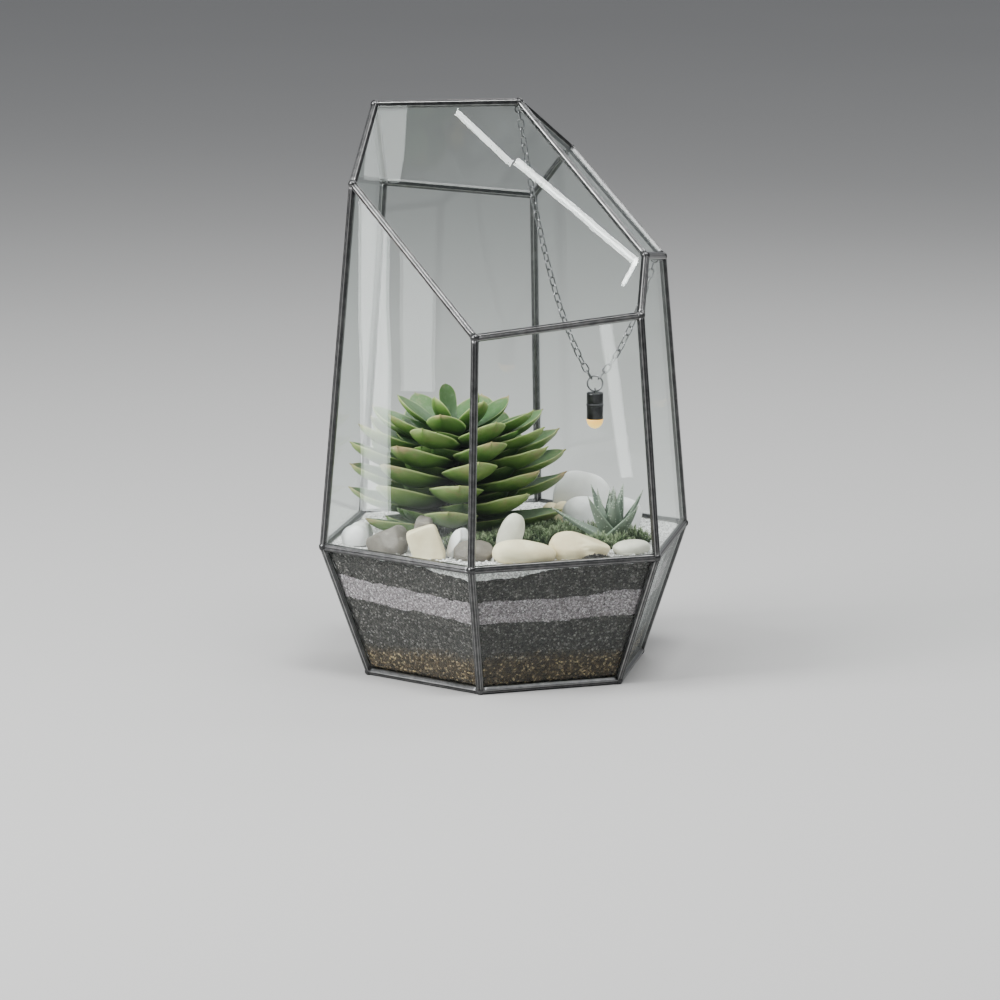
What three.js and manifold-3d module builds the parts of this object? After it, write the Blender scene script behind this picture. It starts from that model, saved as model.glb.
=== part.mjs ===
// A six-sided glass terrarium with a slanted roof, planted with an echeveria, a small haworthia and
// moss among pebbles, over layers of grit, gravel and sand. A tiny lamp hangs inside on a fine chain.
// Millimetres, +Z up. The origin is on the ground under the middle of the base, and one rib faces -Y.

import * as THREE from 'three';
import { mergeVertices } from 'three/addons/utils/BufferGeometryUtils.js';
import Module from 'manifold-3d';

const wasm = await Module();
wasm.setup();

// Driving dimensions of the glass house
const sides = 6;
const barSize = 4;                 // across the flats of an eight-sided lead-came bar
const baseRadius = 75.5;           // centre to corner of the base ring
const girdleRadius = 100;          // centre to corner of the widest ring
const girdleOverBase = 67;
const upperTaper = 0.0906;         // radius lost for each mm of height above the girdle
const roofPlanes = {               // height over the base ring = level + alongX * x + alongY * y
  front: { level: 259.8, alongX: -0.41, alongY: 0.856 },
  back: { level: 327.1, alongX: 0.497, alongY: -1.083 },
  right: { level: 294.4, alongX: -1.058, alongY: -0.121 },
};
const paneThickness = 2;
const gap = 0.3;                   // clearance between neighbouring pieces
const fine = 0.03;                 // how closely a joined surface keeps its shape when it is made simpler
const paneInset = 2.5;             // from a bar's centre line to the pane's edge
const solderRadius = 2.9;

// Driving dimensions of what the glass house holds
const sandLevel = 68.9;            // top of the white sand
const stemFoot = 58;               // the plants' stems stand in plain holes down to here
const echeveriaPlace = { x: -26.4, y: 0.6 };
const haworthiaPlace = { x: 58.9, y: -19.3 };
const chainWire = 0.7;
const linkLength = 5.7;
const linkWidth = 3.3;
const chainSag = 27.5;             // horizontal pull over weight per mm, the catenary's own length
const lampPlace = { x: 40.5, y: 39.5 };
const jumpRing = { radius: 4, wire: 0.9, z: 143.85 };
const eyelet = { radius: 1.9, wire: 0.8 };

const group = new THREE.Group();

const finishes = {
  steel: { color: 0x4a4a4c, roughness: 0.35, metalness: 0.9 },
  glass: { color: 0xdfe9e6, roughness: 0.05, metalness: 0, transparent: true, opacity: 0.25 },
  grit: { color: 0x6b5a45, roughness: 0.95, metalness: 0 },
  gravel: { color: 0x3d3c3b, roughness: 0.95, metalness: 0 },
  paleSand: { color: 0xb9aeb3, roughness: 0.95, metalness: 0 },
  whiteSand: { color: 0xe6e4e0, roughness: 0.95, metalness: 0 },
  echeveria: { color: 0x5f8f45, roughness: 0.5, metalness: 0 },
  haworthia: { color: 0x5b7464, roughness: 0.55, metalness: 0 },
  moss: { color: 0x3f6245, roughness: 0.9, metalness: 0 },
  whiteStone: { color: 0xe9e9ea, roughness: 0.7, metalness: 0 },
  creamStone: { color: 0xe2d8c3, roughness: 0.7, metalness: 0 },
  greyStone: { color: 0x99918a, roughness: 0.8, metalness: 0 },
  bulb: { color: 0xf2cf8a, roughness: 0.3, metalness: 0 },
  cell: { color: 0xb8b8b4, roughness: 0.3, metalness: 0.9 },
};

const add = (name, geometry, finish) => {
  const mesh = new THREE.Mesh(geometry, new THREE.MeshStandardMaterial(finishes[finish]));
  mesh.name = name;
  group.add(mesh);
  return mesh;
};

// Joining and cutting of closed meshes

const bare = (geometry) => {
  const plain = geometry.clone();
  plain.deleteAttribute('normal');
  plain.deleteAttribute('uv');
  return mergeVertices(plain, 1e-4);
};

const toSolid = (geometry) => {
  const merged = bare(geometry);
  return new wasm.Manifold(new wasm.Mesh({
    numProp: 3,
    vertProperties: new Float32Array(merged.attributes.position.array),
    triVerts: new Uint32Array(merged.index.array),
  }));
};

const toGeometry = (solid) => {
  const mesh = solid.getMesh();
  const geometry = new THREE.BufferGeometry();
  geometry.setAttribute('position', new THREE.BufferAttribute(new Float32Array(mesh.vertProperties), 3));
  geometry.setIndex(new THREE.BufferAttribute(new Uint32Array(mesh.triVerts), 1));
  return geometry;
};

const joined = (geometries) => geometries.map(toSolid).reduce((all, next) => all.add(next));

// A closed surface through rings of equally many points, between a first and a last point
const skin = (first, rings, last) => {
  const count = rings[0].length;
  const points = [first, ...rings.flat(), last];
  const end = points.length - 1;
  const faces = [];
  for (let j = 0; j < count; j++) {
    const k = (j + 1) % count;
    faces.push(0, 1 + k, 1 + j);
    for (let i = 0; i + 1 < rings.length; i++) {
      const low = 1 + i * count;
      const high = low + count;
      faces.push(low + j, low + k, high + k, low + j, high + k, high + j);
    }
    faces.push(end, end - count + j, end - count + k);
  }
  const geometry = new THREE.BufferGeometry();
  geometry.setAttribute('position', new THREE.Float32BufferAttribute(points.flatMap((p) => p.toArray()), 3));
  geometry.setIndex(faces);
  return geometry;
};

// A small repeatable random number from 0 to 1 for each pair of seeds
const chance = (a, b = 0) => {
  const s = Math.sin(a * 127.1 + b * 311.7 + 74.7) * 43758.5453;
  return s - Math.floor(s);
};

const radians = THREE.MathUtils.degToRad;
const cornerAngle = (i) => radians(-90 + 60 * i);
const polar = (radius, angle, z) => new THREE.Vector3(radius * Math.cos(angle), radius * Math.sin(angle), z);

// Corners of the glass house, worked out from the planes of its faces

const half = barSize / 2;
const baseZ = half;
const girdleZ = baseZ + girdleOverBase;
const lean = (girdleRadius - baseRadius) / girdleOverBase;
const flatOf = Math.cos(radians(30));      // a hexagon's corner radius to its flat's distance

const roofPlane = ({ level, alongX, alongY }) => ({
  normal: new THREE.Vector3(-alongX, -alongY, 1), offset: baseZ + level,
});
const sidePlane = (i) => {
  const facing = cornerAngle(i + 0.5);
  return {
    normal: new THREE.Vector3(Math.cos(facing), Math.sin(facing), flatOf * upperTaper),
    offset: flatOf * (girdleRadius + upperTaper * girdleZ),
  };
};
const meet = (a, b, c) => {
  const rows = new THREE.Matrix3().set(
    ...a.normal.toArray(), ...b.normal.toArray(), ...c.normal.toArray(),
  );
  return new THREE.Vector3(a.offset, b.offset, c.offset).applyMatrix3(rows.invert());
};

const front = roofPlane(roofPlanes.front);
const back = roofPlane(roofPlanes.back);
const right = roofPlane(roofPlanes.right);
const onRib = (i, roof) => meet(sidePlane(i - 1), sidePlane(i), roof);

const baseCorners = Array.from({ length: sides }, (_, i) => polar(baseRadius, cornerAngle(i), baseZ));
const girdleCorners = Array.from({ length: sides }, (_, i) => polar(girdleRadius, cornerAngle(i), girdleZ));
const ribTops = [front, front, right, back, back, front].map((roof, i) => onRib(i, roof));
const apexLeft = meet(sidePlane(4), front, back);
const apexRight = meet(front, back, right);
const notchFront = meet(sidePlane(1), front, right);
const notchBack = meet(sidePlane(2), back, right);

// Bars of the frame

const octagon = (halfSize) => Array.from({ length: 8 }, (_, k) => {
  const turn = radians(22.5 + 45 * k);
  const reach = halfSize / Math.cos(radians(22.5));
  return [reach * Math.cos(turn), reach * Math.sin(turn)];
});

// A closed ring of mitred bars round a flat polygon
const ringOfBars = (corners, halfSize) => {
  const count = corners.length;
  const normal = new THREE.Vector3();
  corners.forEach((p, i) => normal.add(p.clone().cross(corners[(i + 1) % count])));
  normal.normalize();
  const along = corners.map((p, i) => corners[(i + 1) % count].clone().sub(p).normalize());
  const section = octagon(halfSize);
  const points = corners.flatMap((p, i) => {
    const before = along[(i + count - 1) % count];
    const outBefore = before.clone().cross(normal);
    const outAfter = along[i].clone().cross(normal);
    const mitre = outBefore.add(outAfter);
    mitre.multiplyScalar(2 / mitre.lengthSq());
    return section.map(([a, b]) => p.clone().addScaledVector(mitre, a).addScaledVector(normal, b));
  });
  const faces = [];
  for (let i = 0; i < count; i++) {
    for (let k = 0; k < 8; k++) {
      const [a, b] = [i * 8 + k, i * 8 + (k + 1) % 8];
      const [c, d] = [((i + 1) % count) * 8 + k, ((i + 1) % count) * 8 + (k + 1) % 8];
      faces.push(a, c, d, a, d, b);
    }
  }
  const geometry = new THREE.BufferGeometry();
  geometry.setAttribute('position', new THREE.Float32BufferAttribute(points.flatMap((p) => p.toArray()), 3));
  geometry.setIndex(faces);
  return geometry;
};

// One straight bar between two points, with a flat facing outwards
const bar = (start, end, outward, halfSize) => {
  const geometry = new THREE.CylinderGeometry(
    halfSize / Math.cos(radians(22.5)), halfSize / Math.cos(radians(22.5)), start.distanceTo(end), 8,
  );
  geometry.rotateY(radians(22.5));
  const y = end.clone().sub(start).normalize();
  const x = y.clone().cross(outward).normalize();
  const z = x.clone().cross(y);
  geometry.applyMatrix4(new THREE.Matrix4().makeBasis(x, y, z));
  const middle = start.clone().add(end).multiplyScalar(0.5);
  return geometry.translate(middle.x, middle.y, middle.z);
};

const blob = (at, radius) => new THREE.IcosahedronGeometry(radius, 0).translate(at.x, at.y, at.z);

// The ring that the chain's first link hooks on, standing in the chain's own plane
const chainHeading = Math.atan2(ribTops[2].y - apexRight.y, ribTops[2].x - apexRight.x);
const ringInChainPlane = (at, radius, wire, around) => new THREE.TorusGeometry(radius, wire / 2, 5, around)
  .rotateX(Math.PI / 2)
  .rotateZ(chainHeading)
  .translate(at.x, at.y, at.z);
const eyeletHigh = apexRight.clone().add(new THREE.Vector3(0, 0, -3.7));
const inwards = new THREE.Vector3(-Math.cos(chainHeading), -Math.sin(chainHeading), -0.3).normalize();
const eyeletLow = ribTops[2].clone().addScaledVector(inwards, 4.4);

const rimCorners = [apexLeft, ribTops[5], ribTops[0], ribTops[1], notchFront, apexRight];
const backBars = [
  [notchFront, ribTops[2]], [ribTops[2], notchBack], [notchBack, apexRight],
  [notchBack, ribTops[3]], [ribTops[3], ribTops[4]], [ribTops[4], apexLeft],
];

const topFrameSolid = (halfSize, extra) => {
  const pieces = [ringOfBars(rimCorners, halfSize)];
  const middle = new THREE.Vector3(0, 0, girdleZ);
  backBars.forEach(([a, b]) => {
    const outward = a.clone().add(b).multiplyScalar(0.5).sub(middle);
    pieces.push(bar(a, b, outward, halfSize));
  });
  [ribTops[2], ribTops[3], ribTops[4], notchBack].forEach((p) => {
    pieces.push(blob(p, solderRadius + extra));
  });
  if (!extra) {
    pieces.push(ringInChainPlane(eyeletHigh, eyelet.radius, eyelet.wire, 12));
    pieces.push(ringInChainPlane(eyeletLow, eyelet.radius, eyelet.wire, 12));
  }
  return joined(pieces);
};

const clearOf = (halfSize) => halfSize + gap;
const girdleCut = toSolid(ringOfBars(girdleCorners, clearOf(half)));
const baseCut = toSolid(ringOfBars(baseCorners, clearOf(half)));
const topCut = topFrameSolid(clearOf(half), gap);

const keepLargest = (solid) => solid.decompose().sort((a, b) => b.volume() - a.volume())[0];

add('base_ring', ringOfBars(baseCorners, half), 'steel');
add('girdle_ring', ringOfBars(girdleCorners, half), 'steel');
add('top_frame', toGeometry(topFrameSolid(half, 0).simplify(fine)), 'steel');
for (let i = 0; i < sides; i++) {
  const outward = polar(1, cornerAngle(i), 0);
  const lower = toSolid(bar(baseCorners[i], girdleCorners[i], outward, half));
  add(`lower_rib_${i + 1}`, toGeometry(keepLargest(lower.subtract(baseCut).subtract(girdleCut))), 'steel');
  const upper = toSolid(bar(girdleCorners[i], ribTops[i], outward, half));
  add(`upper_rib_${i + 1}`, toGeometry(keepLargest(upper.subtract(girdleCut).subtract(topCut))), 'steel');
}

// Panes of glass

// A flat pane between the bars that run through the given corners, seen from outside in turn
const pane = (name, corners) => {
  const count = corners.length;
  const normal = new THREE.Vector3();
  corners.forEach((p, i) => normal.add(p.clone().cross(corners[(i + 1) % count])));
  normal.normalize();
  const u = corners[1].clone().sub(corners[0]).normalize();
  const v = normal.clone().cross(u);
  const flat = corners.map((p) => {
    const from = p.clone().sub(corners[0]);
    return new THREE.Vector2(from.dot(u), from.dot(v));
  });
  const inset = flat.map((p, i) => {
    const before = p.clone().sub(flat[(i + count - 1) % count]).normalize();
    const after = flat[(i + 1) % count].clone().sub(p).normalize();
    const inward = new THREE.Vector2(-before.y - after.y, before.x + after.x);
    return p.clone().addScaledVector(inward, 2 * paneInset / inward.lengthSq());
  });
  const sheet = { depth: paneThickness, bevelEnabled: false };
  const geometry = new THREE.ExtrudeGeometry(new THREE.Shape(inset), sheet);
  geometry.translate(0, 0, -paneThickness / 2);
  const mesh = add(name, geometry, 'glass');
  mesh.quaternion.setFromRotationMatrix(new THREE.Matrix4().makeBasis(u, v, normal));
  mesh.position.copy(corners[0]);
};

const next = (i) => (i + 1) % sides;
pane('base_pane', baseCorners);
for (let i = 0; i < sides; i++) {
  const lower = [baseCorners[i], baseCorners[next(i)], girdleCorners[next(i)], girdleCorners[i]];
  pane(`lower_pane_${i + 1}`, lower);
  const extra = { 1: [notchFront], 2: [notchBack], 4: [apexLeft] }[i] ?? [];
  const upper = [girdleCorners[i], girdleCorners[next(i)], ribTops[next(i)], ...extra, ribTops[i]];
  pane(`upper_pane_${i + 1}`, upper);
}
pane('front_roof_pane', rimCorners);
pane('back_roof_pane', [apexRight, notchBack, ribTops[3], ribTops[4], apexLeft]);
pane('right_roof_pane', [notchFront, ribTops[2], notchBack, apexRight]);

// Layers of the filling

const bowlInset = (paneThickness / 2 + gap) / Math.cos(Math.atan(flatOf * lean));
const cornerCut = 2.4;              // how far the filling's corners stand back from a rib, along the glass
const perSide = 4;
const around = sides * perSide;

// A point of the filling's outline at a height: going round, each side has two end points and two between
const outline = (j, z, pullIn = 0) => {
  const side = Math.floor(j / perSide);
  const apothem = flatOf * (baseRadius + lean * (z - baseZ)) - bowlInset - pullIn;
  const reach = apothem * Math.tan(radians(30)) - cornerCut;
  const along = reach * (2 * (j % perSide) / (perSide - 1) - 1);
  const facing = cornerAngle(side + 0.5);
  return polar(apothem, facing, z).add(polar(along, facing + Math.PI / 2, 0));
};
const headingOf = (j) => {
  const p = outline(j, girdleZ);
  return Math.atan2(p.y, p.x);
};

// Each boundary waves with the heading: a level, a twofold wave highest at the front rib, and a lean to +X
const boundary = ({ level, wave, sideways }) => (heading) => (
  baseZ + level + wave * Math.cos(2 * (heading - radians(270))) + sideways * Math.cos(heading)
);
const tops = {
  drainage_grit: boundary({ level: 17.8, wave: 2.2, sideways: 0.8 }),
  lower_gravel: boundary({ level: 37.3, wave: -0.7, sideways: -2.7 }),
  pale_band: boundary({ level: 50.2, wave: -2.2, sideways: -0.8 }),
  upper_gravel: boundary({ level: 63.7, wave: -1.9, sideways: 0 }),
};

// One ring of a layer's face, at a share of the way out to the glass, flatter towards the middle
const layerRing = (heightAt, share, lift) => Array.from({ length: around }, (_, j) => {
  const meanZ = (heightAt(0) + heightAt(Math.PI / 2) + heightAt(Math.PI) + heightAt(-Math.PI / 2)) / 4;
  const z = THREE.MathUtils.lerp(meanZ, heightAt(headingOf(j)), share) + lift;
  const edge = outline(j, z);
  return new THREE.Vector3(edge.x * share, edge.y * share, z);
});
const middleOf = (heightAt, lift) => {
  const ring = layerRing(heightAt, 0, lift);
  return ring[0];
};
const shares = [0.4, 0.75, 1];

const layer = (name, under, over, finish) => {
  const rings = [
    ...shares.map((share) => layerRing(under, share, gap)),
    ...shares.toReversed().map((share) => layerRing(over, share, 0)),
  ];
  add(name, skin(middleOf(under, gap), rings, middleOf(over, 0)), finish);
};

const gritFloor = baseZ + paneThickness / 2 + gap;
const aboveBaseRing = gritFloor + 1.4;
add('drainage_grit', skin(
  new THREE.Vector3(0, 0, gritFloor),
  [
    Array.from({ length: around }, (_, j) => outline(j, gritFloor, 1.5)),
    Array.from({ length: around }, (_, j) => outline(j, aboveBaseRing)),
    ...shares.toReversed().map((share) => layerRing(tops.drainage_grit, share, 0)),
  ],
  middleOf(tops.drainage_grit, 0),
), 'grit');
layer('lower_gravel', tops.drainage_grit, tops.lower_gravel, 'gravel');
layer('pale_band', tops.lower_gravel, tops.pale_band, 'paleSand');

// The stems' holes go through the sand into the upper gravel
const stemRadius = { echeveria: 6, haworthia: 2.6 };
const hole = ({ x, y }, radius) => toSolid(
  new THREE.CylinderGeometry(radius + gap, radius + gap, 30, 12)
    .rotateX(Math.PI / 2)
    .translate(x, y, stemFoot - gap + 15),
);
const holes = hole(echeveriaPlace, stemRadius.echeveria).add(hole(haworthiaPlace, stemRadius.haworthia));

const gravelRings = [
  ...shares.map((share) => layerRing(tops.pale_band, share, gap)),
  ...shares.toReversed().map((share) => layerRing(tops.upper_gravel, share, 0)),
];
const gravel = toSolid(skin(middleOf(tops.pale_band, gap), gravelRings, middleOf(tops.upper_gravel, 0)));
add('upper_gravel', toGeometry(gravel.subtract(holes)), 'gravel');

// The white sand is flat in the middle and slopes down to pass under the girdle ring
const sandEdge = girdleZ - half - gap - 0.05;
const flatRing = (share, z) => Array.from({ length: around }, (_, j) => {
  const p = outline(j, z);
  return new THREE.Vector3(p.x * share, p.y * share, z);
});
const sandRings = [
  ...shares.map((share) => layerRing(tops.upper_gravel, share, gap)),
  flatRing(1, sandEdge),
  flatRing(0.93, sandLevel),
];
const sand = toSolid(skin(middleOf(tops.upper_gravel, gap), sandRings, new THREE.Vector3(0, 0, sandLevel)));
add('white_sand', toGeometry(sand.subtract(holes)), 'whiteSand');

// Leaves

// A thick keeled leaf along +X: an arc that rises and curls up, narrow at its root, then narrowing from its
// widest place to a point as (1 - s ** taper) ** blunt
const broadSection = [[1, 0.05], [0, -0.05], [-1, 0.05], [-0.52, -0.6], [0, -1], [0.52, -0.6]];
const slimSection = [[1, 0.1], [-1, 0.1], [0, -1]];
const leaf = ({
  length, halfWidth, keel, lift, curl, root, narrow, widest, taper, blunt, section, stations,
}) => {
  const arc = (u) => {
    const turn = lift + curl * u;
    return {
      turn,
      x: root + length / curl * (Math.sin(turn) - Math.sin(lift)),
      z: length / curl * (Math.cos(lift) - Math.cos(turn)),
    };
  };
  const widthAt = (u) => (u < widest
    ? narrow + (1 - narrow) * Math.sin(Math.PI / 2 * u / widest) ** 1.3
    : (1 - ((u - widest) / (1 - widest)) ** taper) ** blunt);
  const at = (u, across, up) => {
    const { turn, x, z } = arc(u);
    return new THREE.Vector3(x - up * Math.sin(turn), across, z + up * Math.cos(turn));
  };
  const rings = stations.map((u) => section.map(([a, b]) => {
    const wide = halfWidth * widthAt(u);
    const deep = keel * (0.7 + 0.3 * Math.sin(Math.PI * u)) * Math.sqrt(widthAt(u));
    return at(u, a * wide, b > 0 ? b * wide : b * deep);
  }));
  return skin(at(0, 0, -keel * 0.3), rings, at(1, 0, 0));
};

// The echeveria: leaves at an even turn from each other up a short stem, crowded and upright at the crown
const rosette = { leaves: 48, divergence: 136, firstHeading: 91, low: 75.5, rise: 47.5, spoon: 45 };
const echeveriaLeaves = Array.from({ length: rosette.leaves }, (_, n) => {
  const u = n / (rosette.leaves - 1);
  const spoon = n === rosette.spoon;
  const shape = leaf({
    length: spoon ? 26 : 54 + 2 * Math.sin(Math.PI * u) - 34 * u ** 5 + 4 * (chance(n, 1) - 0.5),
    halfWidth: spoon ? 5.4 : 14.6 - 1.2 * u - 7.5 * u ** 6 + 1.2 * (chance(n, 2) - 0.5),
    keel: 5.2 - 3 * u ** 4 - (1 - u) ** 8,
    lift: radians(spoon ? 55 : 1 + 7 * u + 46 * u ** 12 - 9 * (1 - u) ** 8 + 4 * (chance(n, 3) - 0.5)),
    curl: radians(22),
    root: 2,
    narrow: 0.32,
    widest: 0.62,
    taper: 2,
    blunt: 0.72,
    section: broadSection,
    stations: [0, 0.32, 0.6, 0.82, 0.96],
  });
  shape.rotateX(radians(10 * (chance(n, 4) - 0.5)));
  const swing = spoon ? 44 : 6 * (chance(n, 5) - 0.5);
  shape.rotateZ(radians(rosette.firstHeading + rosette.divergence * n + swing));
  return shape.translate(0, 0, rosette.low + rosette.rise * (1 - (1 - u) ** 1.5));
});
const stem = (radius, top, topRadius) => skin(
  new THREE.Vector3(0, 0, stemFoot),
  [[radius, stemFoot], [radius, sandLevel], [topRadius, top]].map(([r, z]) => (
    Array.from({ length: 8 }, (_, k) => polar(r, k * Math.PI / 4, z)))),
  new THREE.Vector3(0, 0, top + 1),
);
const echeveria = joined([stem(stemRadius.echeveria, rosette.low + rosette.rise, 3.4), ...echeveriaLeaves]);
const echeveriaMesh = add('echeveria', toGeometry(echeveria.simplify(fine)), 'echeveria');
echeveriaMesh.position.set(echeveriaPlace.x, echeveriaPlace.y, 0);

// The haworthia: broad-based leaves tapering to a spine, upright in the middle; the first is longer and lower
const spikes = 14;
const haworthiaLeaves = Array.from({ length: spikes }, (_, n) => {
  const u = n / (spikes - 1);
  const reaching = n === 0 ? { length: 9, lift: 8, curl: -4 } : { length: 0, lift: 0, curl: 0 };
  const shape = leaf({
    length: 22 + 8 * Math.sin(Math.PI * Math.min(1, 0.25 + u)) + 3 * (chance(n, 6) - 0.5) + reaching.length,
    halfWidth: 4.1 - 1.1 * u,
    keel: 2.2 - 0.5 * u,
    lift: radians(20 + 62 * u + reaching.lift),
    curl: radians(12 + reaching.curl),
    root: 0.5,
    narrow: 0.85,
    widest: 0.12,
    taper: 1.35,
    blunt: 1,
    section: slimSection,
    stations: [0, 0.12, 0.55],
  });
  shape.rotateZ(radians(182 + 137.5 * n));
  return shape.translate(0, 0, sandLevel + 2.6 + 3.4 * u);
});
const haworthia = joined([stem(stemRadius.haworthia, sandLevel + 6, 2.2), ...haworthiaLeaves]);
const haworthiaMesh = add('haworthia', toGeometry(haworthia.simplify(fine)), 'haworthia');
haworthiaMesh.position.set(haworthiaPlace.x, haworthiaPlace.y, 0);

// Moss: a mat of low mounds with short upright sprigs, wound round the pebbles
const mounds = [
  [-17, -46, 6.5], [-7, -42, 6.5], [-1, -31.5, 6.5], [9, -24, 7.5], [20, -21, 8], [31, -19, 8], [20, -6, 9],
  [33, -5, 8], [15, 7, 8], [26, 7.5, 7.5], [15, 20, 8], [44, 1, 7.5], [54, 0, 7], [65, -6, 7], [72, -15, 5.5],
];
const mossFloor = sandLevel + gap;
const sprigsEach = 3;
const mossPieces = mounds.flatMap(([x, y, radius], m) => {
  const crest = 3.8;
  const dome = skin(
    new THREE.Vector3(x, y, mossFloor),
    [[1, 0], [0.85, 0.6]].map(([r, h]) => Array.from({ length: 8 }, (_, k) => (
      polar(radius * r * (0.94 + 0.12 * chance(m, k)), k * Math.PI / 4, mossFloor + crest * h)
        .add(new THREE.Vector3(x, y, 0))))),
    new THREE.Vector3(x, y, mossFloor + crest),
  );
  const sprigs = Array.from({ length: sprigsEach }, (_, k) => {
    const out = radius * 0.78 * Math.sqrt((k + 0.5) / sprigsEach);
    const heading = k * 2.4 + m;
    const height = 4.6 + 1.2 * chance(m, k + 20);
    return new THREE.ConeGeometry(1.2, height, 3)
      .rotateX(Math.PI / 2)
      .translate(0, 0, height / 2)
      .rotateY(radians(24 * out / radius))
      .rotateZ(heading)
      .translate(x + out * Math.cos(heading), y + out * Math.sin(heading), mossFloor + 0.9);
  });
  return [dome, ...sprigs];
});
add('moss_mat', toGeometry(joined(mossPieces).simplify(fine)), 'moss');

// Pebbles: a rounded block, slimmer to one end by taper, tilted and turned, and cut flat where it lies

const pebble = ({
  size: [width, depth, height], power = 2.3, taper = 0, turn = 0, tilt = 0, seed = 1, detail = 2,
}) => {
  const geometry = bare(new THREE.IcosahedronGeometry(1, detail));
  const position = geometry.attributes.position;
  const sunk = 0.62;                 // the share of the half height that is left below the middle
  const halfHeight = height / (1 + sunk);
  const p = new THREE.Vector3();
  for (let i = 0; i < position.count; i++) {
    p.fromBufferAttribute(position, i);
    const round = (Math.abs(p.x) ** power + Math.abs(p.y) ** power + Math.abs(p.z) ** power) ** (-1 / power);
    const lump = 1 + 0.035 * Math.sin(2.6 * p.x + seed) * Math.cos(2.2 * p.y + 1.7 * seed);
    p.multiplyScalar(round * lump);
    const slim = 1 - taper * p.x;
    position.setXYZ(i, p.x * width / 2, p.y * slim * depth / 2, p.z * slim * halfHeight);
  }
  geometry.rotateY(radians(tilt));
  for (let i = 0; i < position.count; i++) {
    position.setZ(i, Math.max(position.getZ(i) + sunk * halfHeight, 0));
  }
  return geometry.rotateZ(radians(turn));
};

const stoneList = [
  { name: 'big_white', finish: 'whiteStone', at: [31.5, 54.5], size: [32, 14, 25], turn: -4, tilt: 6 },
  { name: 'back_white', finish: 'whiteStone', at: [36, 28.5], size: [21, 16, 16.4], turn: 12, seed: 2 },
  {
    name: 'right_white', finish: 'whiteStone',
    at: [56.8, 31], size: [20, 15, 16], turn: 30, tilt: 12, seed: 3, detail: 1,
  },
  {
    name: 'upright_cream', finish: 'creamStone',
    at: [9.5, -40.5], size: [12.6, 10, 19], tilt: 20, turn: 8, seed: 4, detail: 1,
  },
  {
    name: 'cream_oval', finish: 'creamStone',
    at: [22.2, -73.6], size: [33, 17, 10.8], tilt: 3, turn: 12, taper: 0.12, seed: 5,
  },
  {
    name: 'cream_dented', finish: 'creamStone',
    at: [48.3, -57.2], size: [32, 17, 12.6], tilt: 5, turn: 24, taper: 0.2, power: 2.4, seed: 6,
  },
  {
    name: 'low_white', finish: 'whiteStone',
    at: [72, -40], size: [21, 14, 6.4], turn: 40, seed: 7, detail: 1,
  },
  {
    name: 'brown', finish: 'greyStone',
    at: [-4, -71.5], size: [20, 11.5, 9.6], turn: 5, power: 2.8, seed: 8, detail: 1,
  },
  {
    name: 'bluish_white', finish: 'whiteStone',
    at: [-14, -63.4], size: [9, 9.5, 14.6], tilt: 20, turn: 10, power: 2.6, seed: 9, detail: 1,
  },
  {
    name: 'grey_block', finish: 'greyStone',
    at: [-51.5, -58], size: [22.5, 13, 14], turn: -22, taper: -0.15, power: 2.8, seed: 11,
  },
];
const seated = sandLevel + gap;
stoneList.forEach(({ name, finish, at: [x, y], ...shape }) => {
  add(`stone_${name}`, pebble(shape), finish).position.set(x, y, seated);
});

// Pebbles that lie against each other, in pairs
const pair = (name, finish, ...members) => {
  const pieces = members.map(({ at: [x, y], ...shape }) => (
    pebble({ detail: 1, ...shape }).translate(x, y, 0)));
  add(name, toGeometry(joined(pieces)), finish).position.z = seated;
};
pair('stone_cream_block', 'creamStone',
  { at: [-29, -70.2], size: [15.5, 11, 15.4], tilt: -17, turn: 6, power: 4.5, seed: 10, detail: 2 },
  { at: [-32, -61.6], size: [9.6, 9.5, 18.5], tilt: 4, power: 3, seed: 21 });
pair('stones_left_pair', 'whiteStone',
  { at: [-71.5, -42], size: [15, 11, 12], tilt: -16, turn: -20, seed: 12 },
  { at: [-70.5, -31], size: [12, 12, 10], seed: 13 });
pair('stones_small_pair', 'creamStone',
  { at: [24, 39.6], size: [12, 9, 11], seed: 14 },
  { at: [16.5, 46], size: [11, 10, 9], turn: 30, seed: 15 });
pair('stones_back_pair', 'whiteStone',
  { at: [-37, 66], size: [20, 14, 13], turn: 30, seed: 16 },
  { at: [-49.5, 58], size: [16, 14, 10], turn: 50, seed: 17 });

// The lamp and its chain

// A revolved closed outline of [radius, z] pairs round the lamp's axis
const turned = (outlinePairs, segments = 14) => new THREE.LatheGeometry(
  outlinePairs.map(([r, z]) => new THREE.Vector2(r, z)), segments,
).rotateX(Math.PI / 2);

const lamp = {
  radius: 4.4, wall: 0.8, capTop: 139.1, seam: 133.4, bodyFoot: 125, bulbFoot: 120, bail: 1.25, bailWire: 0.9,
};
const inner = lamp.radius - lamp.wall;
const capGeometry = turned([
  [0, lamp.capTop - 1.2], [inner, lamp.capTop - 1.2], [inner, lamp.seam], [lamp.radius - 0.3, lamp.seam],
  [lamp.radius - 0.15, lamp.seam + 1.4], [lamp.radius, lamp.capTop - 0.5], [lamp.radius - 0.5, lamp.capTop],
  [0, lamp.capTop],
]);
const bailGeometry = new THREE.TorusGeometry(lamp.bail, lamp.bailWire / 2, 5, 10)
  .rotateX(Math.PI / 2)
  .rotateZ(chainHeading + Math.PI / 2)
  .translate(0, 0, lamp.capTop + 0.7);
add('lamp_cap', toGeometry(joined([capGeometry, bailGeometry])), 'steel')
  .position.set(lampPlace.x, lampPlace.y, 0);
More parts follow.
